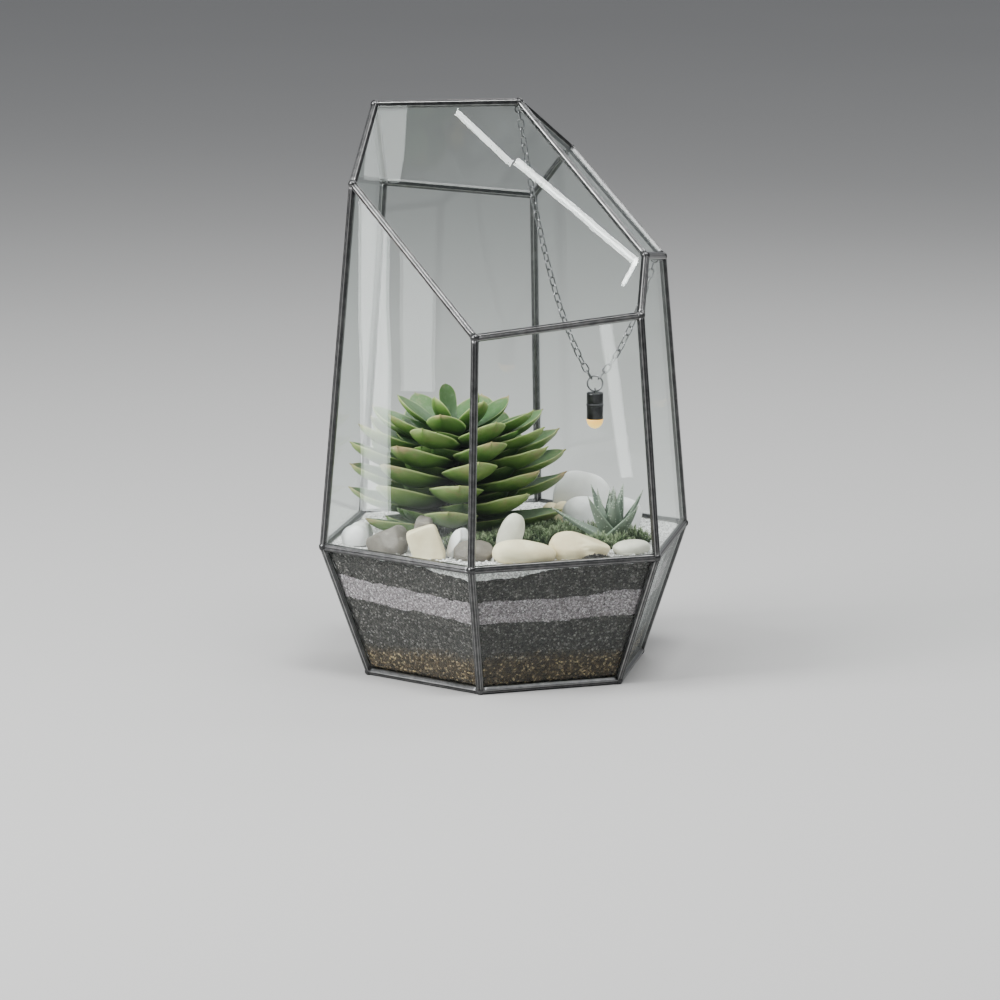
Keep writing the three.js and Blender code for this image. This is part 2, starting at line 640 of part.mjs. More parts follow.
add('lamp_body', turned([
  [inner, lamp.bodyFoot], [lamp.radius - 0.05, lamp.bodyFoot], [lamp.radius - 0.05, lamp.seam - 1.6],
  [lamp.radius + 0.15, lamp.seam - 1.4], [lamp.radius + 0.15, lamp.seam - 0.5],
  [lamp.radius - 0.2, lamp.seam - gap], [inner, lamp.seam - gap], [inner, lamp.bodyFoot],
]), 'steel').position.set(lampPlace.x, lampPlace.y, 0);
const domeDrop = lamp.bodyFoot - gap - lamp.bulbFoot;
const domePoint = (reach, drop, share) => [
  reach * Math.sin(share * Math.PI / 2), lamp.bodyFoot - gap - drop * Math.cos(share * Math.PI / 2),
];
add('lamp_bulb', turned([
  ...[0, 0.3, 0.55, 0.8, 1].map((s) => domePoint(lamp.radius, domeDrop, s)),
  [inner, lamp.bodyFoot - gap],
  ...[0.7, 0.4, 0].map((s) => domePoint(inner - 0.4, domeDrop - 1.2, s)),
]), 'bulb').position.set(lampPlace.x, lampPlace.y, 0);
const coreTop = lamp.capTop - 1.2 - gap;
const coreRadius = inner - gap;
add('lamp_core', turned([
  [0, lamp.bodyFoot - 2.6], [1.2, lamp.bodyFoot - 2.1],
  [1.5, lamp.bodyFoot - 1.2], [1.5, lamp.bodyFoot + 0.6],
  [coreRadius, lamp.bodyFoot + 0.6], [coreRadius, coreTop], [0, coreTop],
]), 'cell').position.set(lampPlace.x, lampPlace.y, 0);

const ringAt = new THREE.Vector3(lampPlace.x, lampPlace.y, jumpRing.z);
add('jump_ring', ringInChainPlane(ringAt, jumpRing.radius, jumpRing.wire, 16), 'steel');

// One link: wire of square section bent to a long oval in the XY plane, long along X
const link = (length) => {
  const bend = (linkWidth - chainWire) / 2;
  const straight = (length - linkWidth) / 2;
  const wire = chainWire / 2 * 1.1;
  const path = [1, -1].flatMap((end) => [-90, 0, 90].map((turn) => (
    [end * straight, bend, radians(turn) + (end < 0 ? Math.PI : 0)])));
  const rings = path.map(([x, reach, turn]) => {
    const outward = new THREE.Vector3(Math.cos(turn), Math.sin(turn), 0);
    return [[wire / 2, -wire], [wire / 2, wire], [-wire, 0]].map(([a, b]) => (
      new THREE.Vector3(x, 0, b).addScaledVector(outward, reach + a)));
  });
  const geometry = new THREE.BufferGeometry();
  const faces = [];
  for (let i = 0; i < rings.length; i++) {
    for (let k = 0; k < 3; k++) {
      const [a, b] = [i * 3 + k, i * 3 + (k + 1) % 3];
      const [c, d] = [((i + 1) % rings.length) * 3 + k, ((i + 1) % rings.length) * 3 + (k + 1) % 3];
      faces.push(a, c, d, a, d, b);
    }
  }
  const points = rings.flat();
  geometry.setAttribute('position', new THREE.Float32BufferAttribute(points.flatMap((p) => p.toArray()), 3));
  geometry.setIndex(faces);
  return geometry;
};

// A run of chain hangs between two hook points as a catenary in the chain's plane. Its links touch, and
// every other one is turned a quarter, with both end links square to the rings that they hook.
const hang = (name, start, end) => {
  const toPlane = (p) => [
    (p.x - apexRight.x) * Math.cos(chainHeading) + (p.y - apexRight.y) * Math.sin(chainHeading), p.z,
  ];
  const [[s1, z1], [s2, z2]] = [toPlane(start), toPlane(end)];
  const spread = 2 * chainSag * Math.sinh((s2 - s1) / (2 * chainSag));
  const low = (s1 + s2) / 2 - chainSag * Math.asinh((z2 - z1) / spread);
  const arcOf = (s) => chainSag * Math.sinh((s - low) / chainSag);
  const total = Math.abs(arcOf(s2) - arcOf(s1));
  const touch = 0.08;
  const ideal = linkLength - 2 * chainWire + touch;
  const count = 2 * Math.round(((total - chainWire) / ideal - 1) / 2) + 1;
  const pitch = (total - chainWire) / count;
  const geometry = link(pitch + 2 * chainWire - touch);
  const along = Math.sign(s2 - s1);
  const pieces = Array.from({ length: count }, (_, k) => {
    const arc = arcOf(s1) + along * (chainWire / 2 + pitch * (k + 0.5));
    const s = low + chainSag * Math.asinh(arc / chainSag);
    const z = z1 + chainSag * (Math.cosh((s - low) / chainSag) - Math.cosh((s1 - low) / chainSag));
    const slope = Math.atan(Math.sinh((s - low) / chainSag));
    return geometry.clone()
      .rotateX(k % 2 ? Math.PI / 2 : 0)
      .rotateY(-slope)
      .rotateZ(chainHeading)
      .translate(
        apexRight.x + s * Math.cos(chainHeading), apexRight.y + s * Math.sin(chainHeading), z,
      );
  });
  add(name, toGeometry(joined(pieces).simplify(fine)), 'steel');
};

// A hook point is the middle of a link's end, inside a ring and clear of the ring's wire
const hookIn = (at, radius, wire, clock) => {
  const reach = radius - wire / 2 - gap - chainWire / 2 * 1.1;
  return at.clone().add(new THREE.Vector3(
    reach * Math.cos(clock) * Math.cos(chainHeading), reach * Math.cos(clock) * Math.sin(chainHeading),
    reach * Math.sin(clock),
  ));
};
hang('chain_long',
  hookIn(eyeletHigh, eyelet.radius, eyelet.wire, radians(-85)),
  hookIn(ringAt, jumpRing.radius, jumpRing.wire, radians(125)));
hang('chain_short',
  hookIn(eyeletLow, eyelet.radius, eyelet.wire, radians(-110)),
  hookIn(ringAt, jumpRing.radius, jumpRing.wire, radians(55)));

export default group;
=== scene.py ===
# A six-sided glass house with a slanted roof, planted with an echeveria, a small haworthia and moss among
# pebbles, over bands of gravel and sand, with a tiny lamp on a chain. Shapes are worked out in millimetres,
# and newPiece turns them into metres.

import bpy
import numpy as np
from mathutils import Matrix, Vector


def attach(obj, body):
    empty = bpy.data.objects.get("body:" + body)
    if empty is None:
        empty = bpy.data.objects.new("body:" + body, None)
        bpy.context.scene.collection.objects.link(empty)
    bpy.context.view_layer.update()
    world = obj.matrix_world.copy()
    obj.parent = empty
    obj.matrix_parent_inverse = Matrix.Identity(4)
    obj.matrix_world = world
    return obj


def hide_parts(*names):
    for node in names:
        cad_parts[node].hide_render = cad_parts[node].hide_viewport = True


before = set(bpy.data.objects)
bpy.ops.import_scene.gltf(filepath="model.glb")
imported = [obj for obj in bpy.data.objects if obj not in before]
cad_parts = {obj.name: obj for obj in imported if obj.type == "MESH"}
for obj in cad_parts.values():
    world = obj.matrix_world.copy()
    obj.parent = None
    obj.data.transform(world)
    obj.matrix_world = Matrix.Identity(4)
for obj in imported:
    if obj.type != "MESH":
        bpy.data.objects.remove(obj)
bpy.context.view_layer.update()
print("frame loaded:", len(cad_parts), "nodes")

mm = 0.001
house = {
    "barSize": 4.0,            # across the flats of a bar
    "baseRadius": 75.5,        # centre to corner of the base ring
    "girdleRadius": 100.0,     # centre to corner of the widest ring
    "girdleOverBase": 67.0,
    "upperTaper": 0.0906,      # radius lost for each mm of height above the girdle
    "roof": {                  # height over the base ring = level + alongX * x + alongY * y
        "front": (259.8, -0.41, 0.856),
        "back": (327.1, 0.497, -1.083),
        "right": (294.4, -1.058, -0.121),
    },
    "paneThickness": 2.0,
    "clearance": 0.3,
    "sandLevel": 68.9,
}

# Chance and noise, the same in every run


def chance(a, b=0.0):
    # the fraction left of a large multiple of sin(127.1 a + 311.7 b + 74.7)
    s = np.sin(np.asarray(a) * 127.1 + np.asarray(b) * 311.7 + 74.7) * 43758.5453
    return s - np.floor(s)


def cellChance(cell, seed):
    # one number from 0 to 1 for each whole-numbered cell of space
    s = np.sin(cell @ np.array([12.9898, 78.233, 37.719]) + seed * 17.17) * 24634.6345
    return s - np.floor(s)


def softNoise(points, size, seed=0):
    # -1 to 1: chances at the corners of cells of the given size, blended with 3t^2 - 2t^3 between them
    cell = np.asarray(points, float) / size
    home = np.floor(cell)
    t = cell - home
    t = t * t * (3 - 2 * t)
    total = 0
    for step in np.ndindex(2, 2, 2):
        share = np.prod(np.where(np.array(step) == 1, t, 1 - t), axis=-1)
        total = total + share * cellChance(home + np.array(step), seed)
    return total * 2 - 1


def grainGap(points, size, seed=0):
    # distance to the nearest of one scattered centre per cell, over the size
    cell = np.asarray(points, float) / size
    home = np.floor(cell)
    gap = np.inf
    for step in np.ndindex(3, 3, 3):
        corner = home + np.array(step) - 1
        shift = np.stack([cellChance(corner, seed + k) for k in (1, 2, 3)], -1)
        gap = np.minimum(gap, np.linalg.norm(cell - corner - shift, axis=-1))
    return gap


# Shapes: a dictionary of points, lists of faces, and marks, which are one number for each point


def grid(x, y, z):
    # points from three arrays that broadcast together
    return np.stack(np.broadcast_arrays(x, y, z), -1)


def polar(radius, angle, z):
    # radius * cos(angle), radius * sin(angle) and z
    return grid(radius * np.cos(angle), radius * np.sin(angle), z)


def wholeTurn(count):
    # angles in radians, evenly round a circle, as one row
    return np.linspace(0, 2 * np.pi, count, endpoint=False)[None, :]


def ballRings(levels, around):
    # a unit sphere's points ring by ring, upwards, without its poles
    up = np.linspace(0, np.pi, levels)[1:-1, None]
    return polar(np.sin(up), wholeTurn(around), -np.cos(up))


def unit(vector):
    # the vector over its length
    return vector / np.linalg.norm(vector)


def shape(points, faces, **marks):
    # a mark is given as one number for every point, or as a single one for all
    points = np.asarray(points, float).reshape(-1, 3)
    full = {name: np.broadcast_to(value, len(points)).astype(float) for name, value in marks.items()}
    return {"points": points, "faces": faces, "marks": full}


def combine(shapes):
    # the points one after another, with each shape's faces counted on from the points before it
    starts = np.cumsum([0] + [len(s["points"]) for s in shapes])
    faces = [face + start for s, start in zip(shapes, starts) for face in s["faces"]]
    marks = {name: np.concatenate([s["marks"][name] for s in shapes]) for name in shapes[0]["marks"]}
    return {"points": np.concatenate([s["points"] for s in shapes]), "faces": faces, "marks": marks}


def tubeFaces(rings, around, start=0):
    # a quad between each two neighbouring points of neighbouring rings, which are closed round
    low = start + np.arange(rings - 1)[:, None] * around
    j = np.arange(around)[None, :]
    k = (j + 1) % around
    return np.stack([low + j, low + k, low + around + k, low + around + j], -1).reshape(-1, 4)


def skin(first, rings, last, **marks):
    # a closed surface: a fan at the first point, tubes between the rings, and a fan at the last point
    count, around = rings.shape[:2]
    points = np.concatenate([[first], rings.reshape(-1, 3), [last]])
    end = len(points) - 1
    j = np.arange(around)
    k = (j + 1) % around
    firstFan = np.stack([np.zeros_like(j), 1 + k, 1 + j], -1)
    lastFan = np.stack([np.full_like(j, end), end - around + j, end - around + k], -1)
    return shape(points, [firstFan, tubeFaces(count, around, 1), lastFan], **marks)


def ringMark(values, firstValue, lastValue):
    # a mark for skin: values over rings and around, with one more for each end point
    return np.concatenate([[firstValue], np.asarray(values, float).ravel(), [lastValue]])


def closedTube(points, around, section, **marks):
    # rings of points whose last one joins the first
    count = around * section
    faces = tubeFaces(around + 1, section)
    return shape(points, [np.where(faces >= count, faces - count, faces)], **marks)


def torus(at, axisU, axisV, radius, wire, around=40, section=10, **marks):
    # a circle in the plane of two directions, carrying a round wire
    a = wholeTurn(around).T[..., None]
    b = wholeTurn(section)[..., None]
    out = np.cos(a) * axisU + np.sin(a) * axisV
    side = np.cross(axisU, axisV)
    points = at + out * (radius + wire / 2 * np.cos(b)) + side * wire / 2 * np.sin(b)
    return closedTube(points, around, section, **marks)


def turnAbout(points, axis, degrees):
    # points turned about X, Y or Z through the origin, by one angle, or by one for each row of points
    c, s = np.cos(np.radians(degrees)), np.sin(np.radians(degrees))
    i, j = {"X": (1, 2), "Y": (2, 0), "Z": (0, 1)}[axis]
    turned = np.array(points, float)
    turned[..., i] = c * points[..., i] - s * points[..., j]
    turned[..., j] = s * points[..., i] + c * points[..., j]
    return turned


def newPiece(name, form, finish, slotName, stands=(), smooth=True):
    # a mesh object at the origin, with its marks as attributes; stands names the nodes that it replaces
    mesh = bpy.data.meshes.new(name)
    corners = np.concatenate([face.ravel() for face in form["faces"]]).astype(np.int32)
    sizes = np.concatenate([np.full(len(face), face.shape[1]) for face in form["faces"]])
    starts = np.concatenate([[0], np.cumsum(sizes)[:-1]]).astype(np.int32)
    mesh.vertices.add(len(form["points"]))
    mesh.vertices.foreach_set("co", (form["points"] * mm).astype(np.float32).ravel())
    mesh.loops.add(len(corners))
    mesh.loops.foreach_set("vertex_index", corners)
    mesh.polygons.add(len(sizes))
    mesh.polygons.foreach_set("loop_start", starts)
    mesh.polygons.foreach_set("loop_total", sizes.astype(np.int32))
    mesh.update(calc_edges=True)
    if smooth:
        mesh.shade_smooth()
    else:
        mesh.shade_flat()
    for mark, values in form["marks"].items():
        mesh.attributes.new(mark, "FLOAT", "POINT").data.foreach_set("value", values.astype(np.float32))
    mesh.materials.append(finish)
    piece = bpy.data.objects.new(name, mesh)
    bpy.context.collection.objects.link(piece)
    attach(piece, "root")
    if stands:
        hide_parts(*stands)


# Shader building: a Wire is a socket that can be added, multiplied and so on


class Wire:
    def __init__(self, finish, socket):
        self.finish = finish
        self.socket = socket

    def join(self, operation, first, second):
        return self.finish.node("ShaderNodeMath", {"operation": operation}, [first, second])

    def __add__(self, other):
        return self.join("ADD", self, other)

    def __radd__(self, other):
        return self.join("ADD", other, self)

    def __sub__(self, other):
        return self.join("SUBTRACT", self, other)

    def __rsub__(self, other):
        return self.join("SUBTRACT", other, self)

    def __mul__(self, other):
        return self.join("MULTIPLY", self, other)

    def __rmul__(self, other):
        return self.join("MULTIPLY", other, self)

    def __pow__(self, other):
        return self.join("POWER", self, other)


class Finish:
    def __init__(self, name):
        self.material = bpy.data.materials.new(name)
        self.material.use_nodes = True
        self.tree = self.material.node_tree
        self.tree.nodes.clear()
        self.out = self.tree.nodes.new("ShaderNodeOutputMaterial")

    def node(self, kind, settings=None, values=(), output=0):
        # a node with its settings, then its sockets' values or links, by number or by name
        made = self.tree.nodes.new(kind)
        for key, value in (settings or {}).items():
            if key == "stops":
                while len(made.color_ramp.elements) < len(value):
                    made.color_ramp.elements.new(1.0)
                for stop, (place, colour) in zip(made.color_ramp.elements, value):
                    stop.position = place
                    stop.color = (*colour, 1.0)
            else:
                setattr(made, key, value)
        pairs = values.items() if isinstance(values, dict) else enumerate(values)
        for key, value in pairs:
            if isinstance(value, Wire):
                self.tree.links.new(value.socket, made.inputs[key])
            else:
                made.inputs[key].default_value = value
        return Wire(self, made.outputs[output])

    def place(self):
        return self.node("ShaderNodeTexCoord", output=3)

    def mark(self, name):
        return self.node("ShaderNodeAttribute", {"attribute_name": name}, output=2)

    def noise(self, size, detail=3.0, roughness=0.5, stretch=(1, 1, 1)):
        # from 0 to 1, with features of about the given size in millimetres
        where = self.node("ShaderNodeMapping", {}, {"Vector": self.place(), "Scale": stretch})
        values = {"Vector": where, "Scale": 1000.0 / size, "Detail": detail, "Roughness": roughness}
        return self.node("ShaderNodeTexNoise", {}, values)

    def cells(self, size):
        # scattered grains of about the given size in millimetres: the distance from a grain's centre over the
        # size, and the grain's own chance
        values = {"Vector": self.place(), "Scale": 1000.0 / size}
        away = self.node("ShaderNodeTexVoronoi", {}, values, output="Distance")
        colour = Wire(self, away.socket.node.outputs["Color"])
        return away, self.node("ShaderNodeSeparateColor", {}, [colour])

    def veins(self, count, stretch):
        # 0 to 1: lines that run from a leaf's root to its tip and fork a little
        place = [self.mark("across") * count, self.mark("along") * stretch, self.mark("own") * 37.0]
        where = self.node("ShaderNodeCombineXYZ", {}, place)
        values = {"Vector": where, "Scale": 1.0, "Detail": 2.0, "Roughness": 0.6}
        return self.node("ShaderNodeTexNoise", {}, values)

    def ramp(self, value, *stops):
        return self.node("ShaderNodeValToRGB", {"stops": stops}, [value])

    def step(self, value, low, high):
        # 0 below low, 1 above high, and smooth between them
        values = {"Value": value, "From Min": low, "From Max": high}
        return self.node("ShaderNodeMapRange", {"interpolation_type": "SMOOTHSTEP"}, values)

    def mix(self, share, first, second, blend="MIX"):
        values = {0: share, 6: rgba(first), 7: rgba(second)}
        return self.node("ShaderNodeMix", {"data_type": "RGBA", "blend_type": blend}, values, output=2)

    def tinted(self, share, colour, tint):
        # a share of the colour's product with the tint
        return self.mix(share, colour, self.mix(1.0, colour, tint, "MULTIPLY"))

    def bump(self, height, strength, distance):
        # distance in millimetres
        values = {"Strength": strength, "Distance": distance * mm, "Height": height}
        return self.node("ShaderNodeBump", {}, values)

    def surface(self, made):
        self.tree.links.new(made.socket, self.out.inputs["Surface"])
        return self.material

    def principled(self, **values):
        named = {key.replace("_", " "): value for key, value in values.items()}
        return self.surface(self.node("ShaderNodeBsdfPrincipled", {}, named))


def rgba(colour):
    # a link as it is, or three numbers with full alpha
    return colour if isinstance(colour, Wire) else (*colour[:3], 1.0)


# Finishes


def cameFinish(name, dark, bright, wearAndHighlightColour, roughness):
    # patinated came: dark faces with a slight mottle, and arrises made bright, partly by wear and partly as
    # painted highlight
    f = Finish(name)
    mottle = f.noise(4, 5, 0.65)
    fine = f.noise(0.5, 3, 0.6)
    # painted highlight and wear: the arris mark, with a little mottle, lightens the arrises and the groove's
    # lips
    wearAndHighlightMask = f.step(f.mark("arris") + (mottle - 0.5) * 0.5, 0.4, 0.9)
    tone = f.mix(f.step(mottle * 0.7 + fine * 0.3, 0.38, 0.66), dark, bright)
    return f.principled(
        Base_Color=f.mix(wearAndHighlightMask, tone, wearAndHighlightColour), Metallic=1.0, Roughness=roughness + 0.12 * mottle + 0.08 * fine,
        Normal=f.bump(mottle * 0.4 + fine * 0.6, 0.14, 0.12))


def glassFinish(name, least):
    # clear sheet: see-through with a faint green, and mirror-like by least + 0.3 * facing^5 at each face
    f = Finish(name)
    ripple = f.bump(f.noise(70, 1, 0.4), 0.05, 0.9)
    facing = f.node("ShaderNodeLayerWeight", {}, {"Blend": 0.5, "Normal": ripple}, output=1)
    gloss = least + 0.3 * facing ** 5
    clear = f.node("ShaderNodeBsdfTransparent", {}, {"Color": (0.975, 0.988, 0.981, 1.0)})
    polished = {"Color": (0.95, 1.0, 0.98, 1.0), "Roughness": 0.004, "Normal": ripple}
    mirror = f.node("ShaderNodeBsdfGlossy", {}, polished)
    return f.surface(f.node("ShaderNodeMixShader", {}, {0: gloss, 1: clear, 2: mirror}))


def grainFinish(name, size, tones, glint=0.0, above=()):
    # crisp grains: each has its own tone and a rounded height, with painted shade where it meets the next and
    # painted light on its dome, and a few glint. Near the top of its band, grains with the tones of the band
    # above are mixed in
    f = Finish(name)
    away, own = f.cells(size)
    finer, finerOwn = f.cells(size * 0.45)
    lump = f.mark("gap")
    pick = own * 0.8 + finerOwn * 0.2
    tone = f.ramp(pick, *tones)
    if above:
        fallen = f.mark("up") + 0.5 * f.noise(2.5) + 0.3 * finerOwn
        tone = f.mix(f.step(fallen, 1.1, 1.42), tone, f.ramp(pick, *above))
    # painted shade and light: darker towards a grain's edge and in the hollows that the mark gap gives, up to
    # 1.2 times lighter at its middle; finerOwn adds random tone
    paintedShadeAndTone = f.step(away, 0.78, 0.22) * 0.55 + f.step(lump, 1.0, 0.3) * 0.4 + finerOwn * 0.25
    lit = f.mix(1.0, tone, f.ramp(paintedShadeAndTone, (0.0, (0.16, 0.16, 0.16)), (1.0, (1.2, 1.2, 1.2))), "MULTIPLY")
    height = 1.0 - away + (1.0 - finer) * 0.35
    return f.principled(
        Base_Color=lit, Roughness=0.88 - glint * f.step(own, 0.8, 0.86),
        Normal=f.bump(height, 1.0, size * 0.6))


def echeveriaFinish():
    # waxy leaf: paler bluish bloom above, mid green below, painted shade at the base and keel, a light rim
    # that is partly painted highlight, and a rosy tip
    f = Finish("echeveria_leaf")
    along = f.mark("along")
    rim = f.mark("rim")
    upper = f.mark("upper")
    own = f.mark("own")
    age = f.mark("age")
    patchy = f.noise(9, 4, 0.55)
    streaks = f.noise(2.2, 3, 0.6)
    veins = f.veins(9.0, 2.2)
    # painted shade: the underside darkens towards its keel, which faces down, and both ramps go near black
    # towards the leaf's base, where the leaves shade each other
    keel = 0.2 * (1.0 - rim)
    under = f.ramp(
        along * 0.82 + patchy * 0.3 - keel, (0.12, (0.005, 0.015, 0.002)), (0.46, (0.028, 0.078, 0.009)),
        (0.72, (0.125, 0.225, 0.044)), (0.98, (0.31, 0.375, 0.135)))
    above = f.ramp(
        along * 0.8 + patchy * 0.3, (0.15, (0.006, 0.02, 0.004)), (0.5, (0.032, 0.082, 0.023)),
        (0.95, (0.095, 0.175, 0.062)))
    green = f.mix(upper, under, above)
    green = f.tinted(f.step(age, 0.55, 1.0) * 0.25, green, (1.1, 1.25, 0.95))
    green = f.tinted(f.step(own, 0.0, 1.0) * 0.6, green, (0.72, 0.86, 0.8))
    green = f.tinted(f.step(veins, 0.5, 0.72) * 0.3, green, (1.5, 1.35, 1.3))
    # a light rim: partly the leaf's pale margin and partly painted highlight
    edge = f.step(rim + along * 0.04, 0.945, 1.025) * f.step(along, 0.25, 0.7)
    edged = f.mix(edge * 0.75, green, (0.44, 0.50, 0.22))
    stain = f.step(streaks + patchy, 1.0, 1.25) * f.step(along, 0.7, 0.95)
    stained = f.mix(stain * 0.45, edged, (0.26, 0.17, 0.085))
    blush = f.step(along + rim * 0.06 + (own - 0.5) * 0.08, 0.97, 1.08) * (0.1 + 0.55 * own)
    rosy = f.mix(blush, stained, (0.44, 0.25, 0.15))
    bloom = f.mix(f.step(streaks, 0.45, 0.75) * 0.13 * upper, rosy, (0.42, 0.52, 0.42))
    return f.principled(
        Base_Color=bloom, Roughness=0.37 + 0.18 * patchy, Specular_IOR_Level=0.45,
        Normal=f.bump(veins * 0.7 + streaks * 0.2 + f.noise(0.5, 2) * 0.1, 0.22, 0.45),
        Subsurface_Weight=0.12, Subsurface_Radius=(0.4, 0.9, 0.2), Subsurface_Scale=0.004)


def haworthiaFinish():
    # grey-green leaf with faint lengthwise lines, browner tips, and pearly specks, which have a rim above 1
    f = Finish("haworthia_leaf")
    along = f.mark("along")
    rim = f.mark("rim")
    own = f.mark("own")
    lines = f.veins(6.0, 1.5)
    base = f.ramp(
        along * 0.8 + lines * 0.25, (0.05, (0.25, 0.30, 0.225)), (0.4, (0.150, 0.198, 0.152)),
        (0.8, (0.18, 0.225, 0.18)), (1.0, (0.20, 0.21, 0.155)))
    shaded = f.tinted(own * 0.45, base, (0.45, 0.55, 0.5))
    edged = f.mix(f.step(rim, 0.86, 1.0) * 0.45, shaded, (0.30, 0.38, 0.28))
    pearly = f.mix(f.step(rim, 1.2, 1.4) * 0.85, edged, (0.52, 0.58, 0.48))
    return f.principled(
        Base_Color=pearly, Roughness=0.45 + 0.2 * lines, Normal=f.bump(lines, 0.2, 0.25),
        Subsurface_Weight=0.1, Subsurface_Radius=(0.3, 0.6, 0.3), Subsurface_Scale=0.003)


def mossFinish():
    # near-black green low down, partly painted shade among the sprigs, and fresher and yellower at the
    # needles' tips
    f = Finish("moss_sprigs")
    rise = f.mark("rise")
    own = f.mark("own")
    low = f.mix(own, (0.02, 0.042, 0.018), (0.045, 0.07, 0.03))
    high = f.mix(own, (0.24, 0.36, 0.17), (0.58, 0.68, 0.42))
    tone = f.mix(f.step(rise, 0.28, 1.02), low, high)
    return f.principled(Base_Color=tone, Roughness=0.75 + 0.1 * f.noise(3), Specular_IOR_Level=0.3)


def pebbleFinish(name, low, high, vein, veinShare):
    # tumbled stone: two cloudy tones, a few soft veins, fine specks and a slight pitted relief
    f = Finish(name)
    cloud = f.noise(14, 5, 0.55)
    speck = f.noise(0.6, 3, 0.7)
    streak = f.noise(9, 6, 0.65, (1, 1, 3.2))
    tone = f.mix(f.step(cloud * 0.6 + f.noise(55, 1) * 0.4, 0.36, 0.64), low, high)
    veined = f.mix(f.step(streak, 0.56, 0.70) * veinShare, tone, vein)
    specked = f.mix(f.step(speck, 0.62, 0.78) * 0.25, veined, vein)
    return f.principled(
        Base_Color=specked, Roughness=0.5 + 0.2 * cloud,
        Normal=f.bump(cloud * 0.5 + speck * 0.35, 0.18, 0.4),
        Subsurface_Weight=0.08, Subsurface_Radius=(0.6, 0.5, 0.4), Subsurface_Scale=0.003)


def steelFinish(name, tone, roughness):
    # turned or drawn steel with fine rings, wear and finger haze
    f = Finish(name)
    rings = f.noise(0.5, 2, 0.5, (0.15, 0.15, 1.6))
    haze = f.noise(3.5, 4, 0.6)
    bright = tuple(min(1.0, c * 1.8) for c in tone)
    return f.principled(
        Base_Color=f.mix(f.step(haze, 0.4, 0.75), tone, bright), Metallic=1.0,
        Roughness=roughness + 0.15 * haze + 0.1 * rings, Normal=f.bump(rings, 0.12, 0.12))


def bulbFinish():
    # frosted dome: glows warm, yellower near the tip and deeper orange where it enters the sleeve
    f = Finish("warm_bulb")
    height = f.node("ShaderNodeSeparateXYZ", {}, [f.place()], output=2)
    share = f.step(height, (lamp["bulbFoot"] - 0.5) * mm, lamp["bodyFoot"] * mm)
    glow = f.ramp(
        share + f.noise(1.2) * 0.1,
        (0.0, (1.0, 0.70, 0.17)), (0.6, (1.0, 0.60, 0.10)), (1.0, (0.95, 0.48, 0.07)))
    return f.principled(
        Base_Color=f.mix(share, (0.62, 0.47, 0.18), (0.60, 0.40, 0.12)), Roughness=0.3 + 0.2 * f.noise(0.4),
        Emission_Color=glow, Emission_Strength=1.6)


def floorFinish():
    # even pale grey with a hardly visible cloudiness
    f = Finish("pale_floor")
    cloud = f.noise(900, 3, 0.5)
    return f.principled(Base_Color=f.mix(cloud, (0.37, 0.37, 0.365), (0.40, 0.40, 0.395)), Roughness=0.75)


lamp = {
    "place": (40.5, 39.5), "radius": 4.4,
    "capTop": 139.1, "seam": 133.4, "bodyFoot": 125.0, "bulbFoot": 120.0,       # heights above the ground
    "capEdges": (0.7, 0.45),  # radii of the cap's upper and lower edge
    "bail": 1.25, "bailWire": 0.9, "bailLift": 0.7,
}

cameMetal = cameFinish("frame_metal", (0.054, 0.055, 0.056), (0.10, 0.10, 0.10), (0.29, 0.29, 0.285), 0.21)
clearGlass = glassFinish("clear_glass", 0.025)
bowlGlass = glassFinish("bowl_glass", 0.012)
darkTones = [
    (0.0, (0.011, 0.010, 0.009)), (0.45, (0.033, 0.030, 0.028)), (0.74, (0.066, 0.060, 0.056)),
    (0.88, (0.125, 0.114, 0.106)), (1.0, (0.33, 0.305, 0.285))]
darkGravel = grainFinish("dark_gravel", 0.95, darkTones, 0.4)
brownGrit = grainFinish("brown_grit", 1.05, [
    (0.0, (0.015, 0.011, 0.007)), (0.45, (0.046, 0.031, 0.018)), (0.75, (0.10, 0.069, 0.039)),
    (0.87, (0.26, 0.19, 0.09)), (1.0, (0.64, 0.48, 0.24))], 0.5, darkTones)
paleSand = grainFinish("pale_sand", 0.75, [
    (0.0, (0.10, 0.083, 0.088)), (0.4, (0.25, 0.217, 0.23)), (0.8, (0.42, 0.375, 0.40)),
    (1.0, (0.78, 0.75, 0.76))], 0.3)
whiteSand = grainFinish("white_sand", 0.9, [
    (0.0, (0.50, 0.48, 0.47)), (0.3, (0.72, 0.71, 0.70)), (0.7, (0.86, 0.855, 0.845)),
    (1.0, (0.95, 0.95, 0.94))], 0.3)
echeveriaLeaf = echeveriaFinish()
haworthiaLeaf = haworthiaFinish()
mossSprigs = mossFinish()
whitePebble = pebbleFinish("white_pebble", (0.76, 0.76, 0.76), (0.93, 0.93, 0.92), (0.57, 0.58, 0.59), 0.3)
creamPebble = pebbleFinish("cream_pebble", (0.68, 0.57, 0.35), (0.90, 0.83, 0.57), (0.52, 0.40, 0.24), 0.3)
greyPebble = pebbleFinish("grey_pebble", (0.085, 0.074, 0.061), (0.19, 0.17, 0.143), (0.36, 0.333, 0.29), 0.5)
palePebble = pebbleFinish("pale_pebble", (0.60, 0.59, 0.49), (0.83, 0.82, 0.70), (0.46, 0.43, 0.35), 0.3)
brownPebble = pebbleFinish(
    "brown_pebble", (0.055, 0.046, 0.036), (0.155, 0.135, 0.11), (0.26, 0.235, 0.20), 0.4)
chainSteel = steelFinish("chain_metal", (0.20, 0.20, 0.205), 0.22)
lampSteel = steelFinish("lamp_metal", (0.050, 0.050, 0.052), 0.20)
cellSteel = steelFinish("cell_metal", (0.55, 0.55, 0.53), 0.25)
warmBulb = bulbFinish()
print("finishes made")

# The glass house's corners, from the planes of its faces

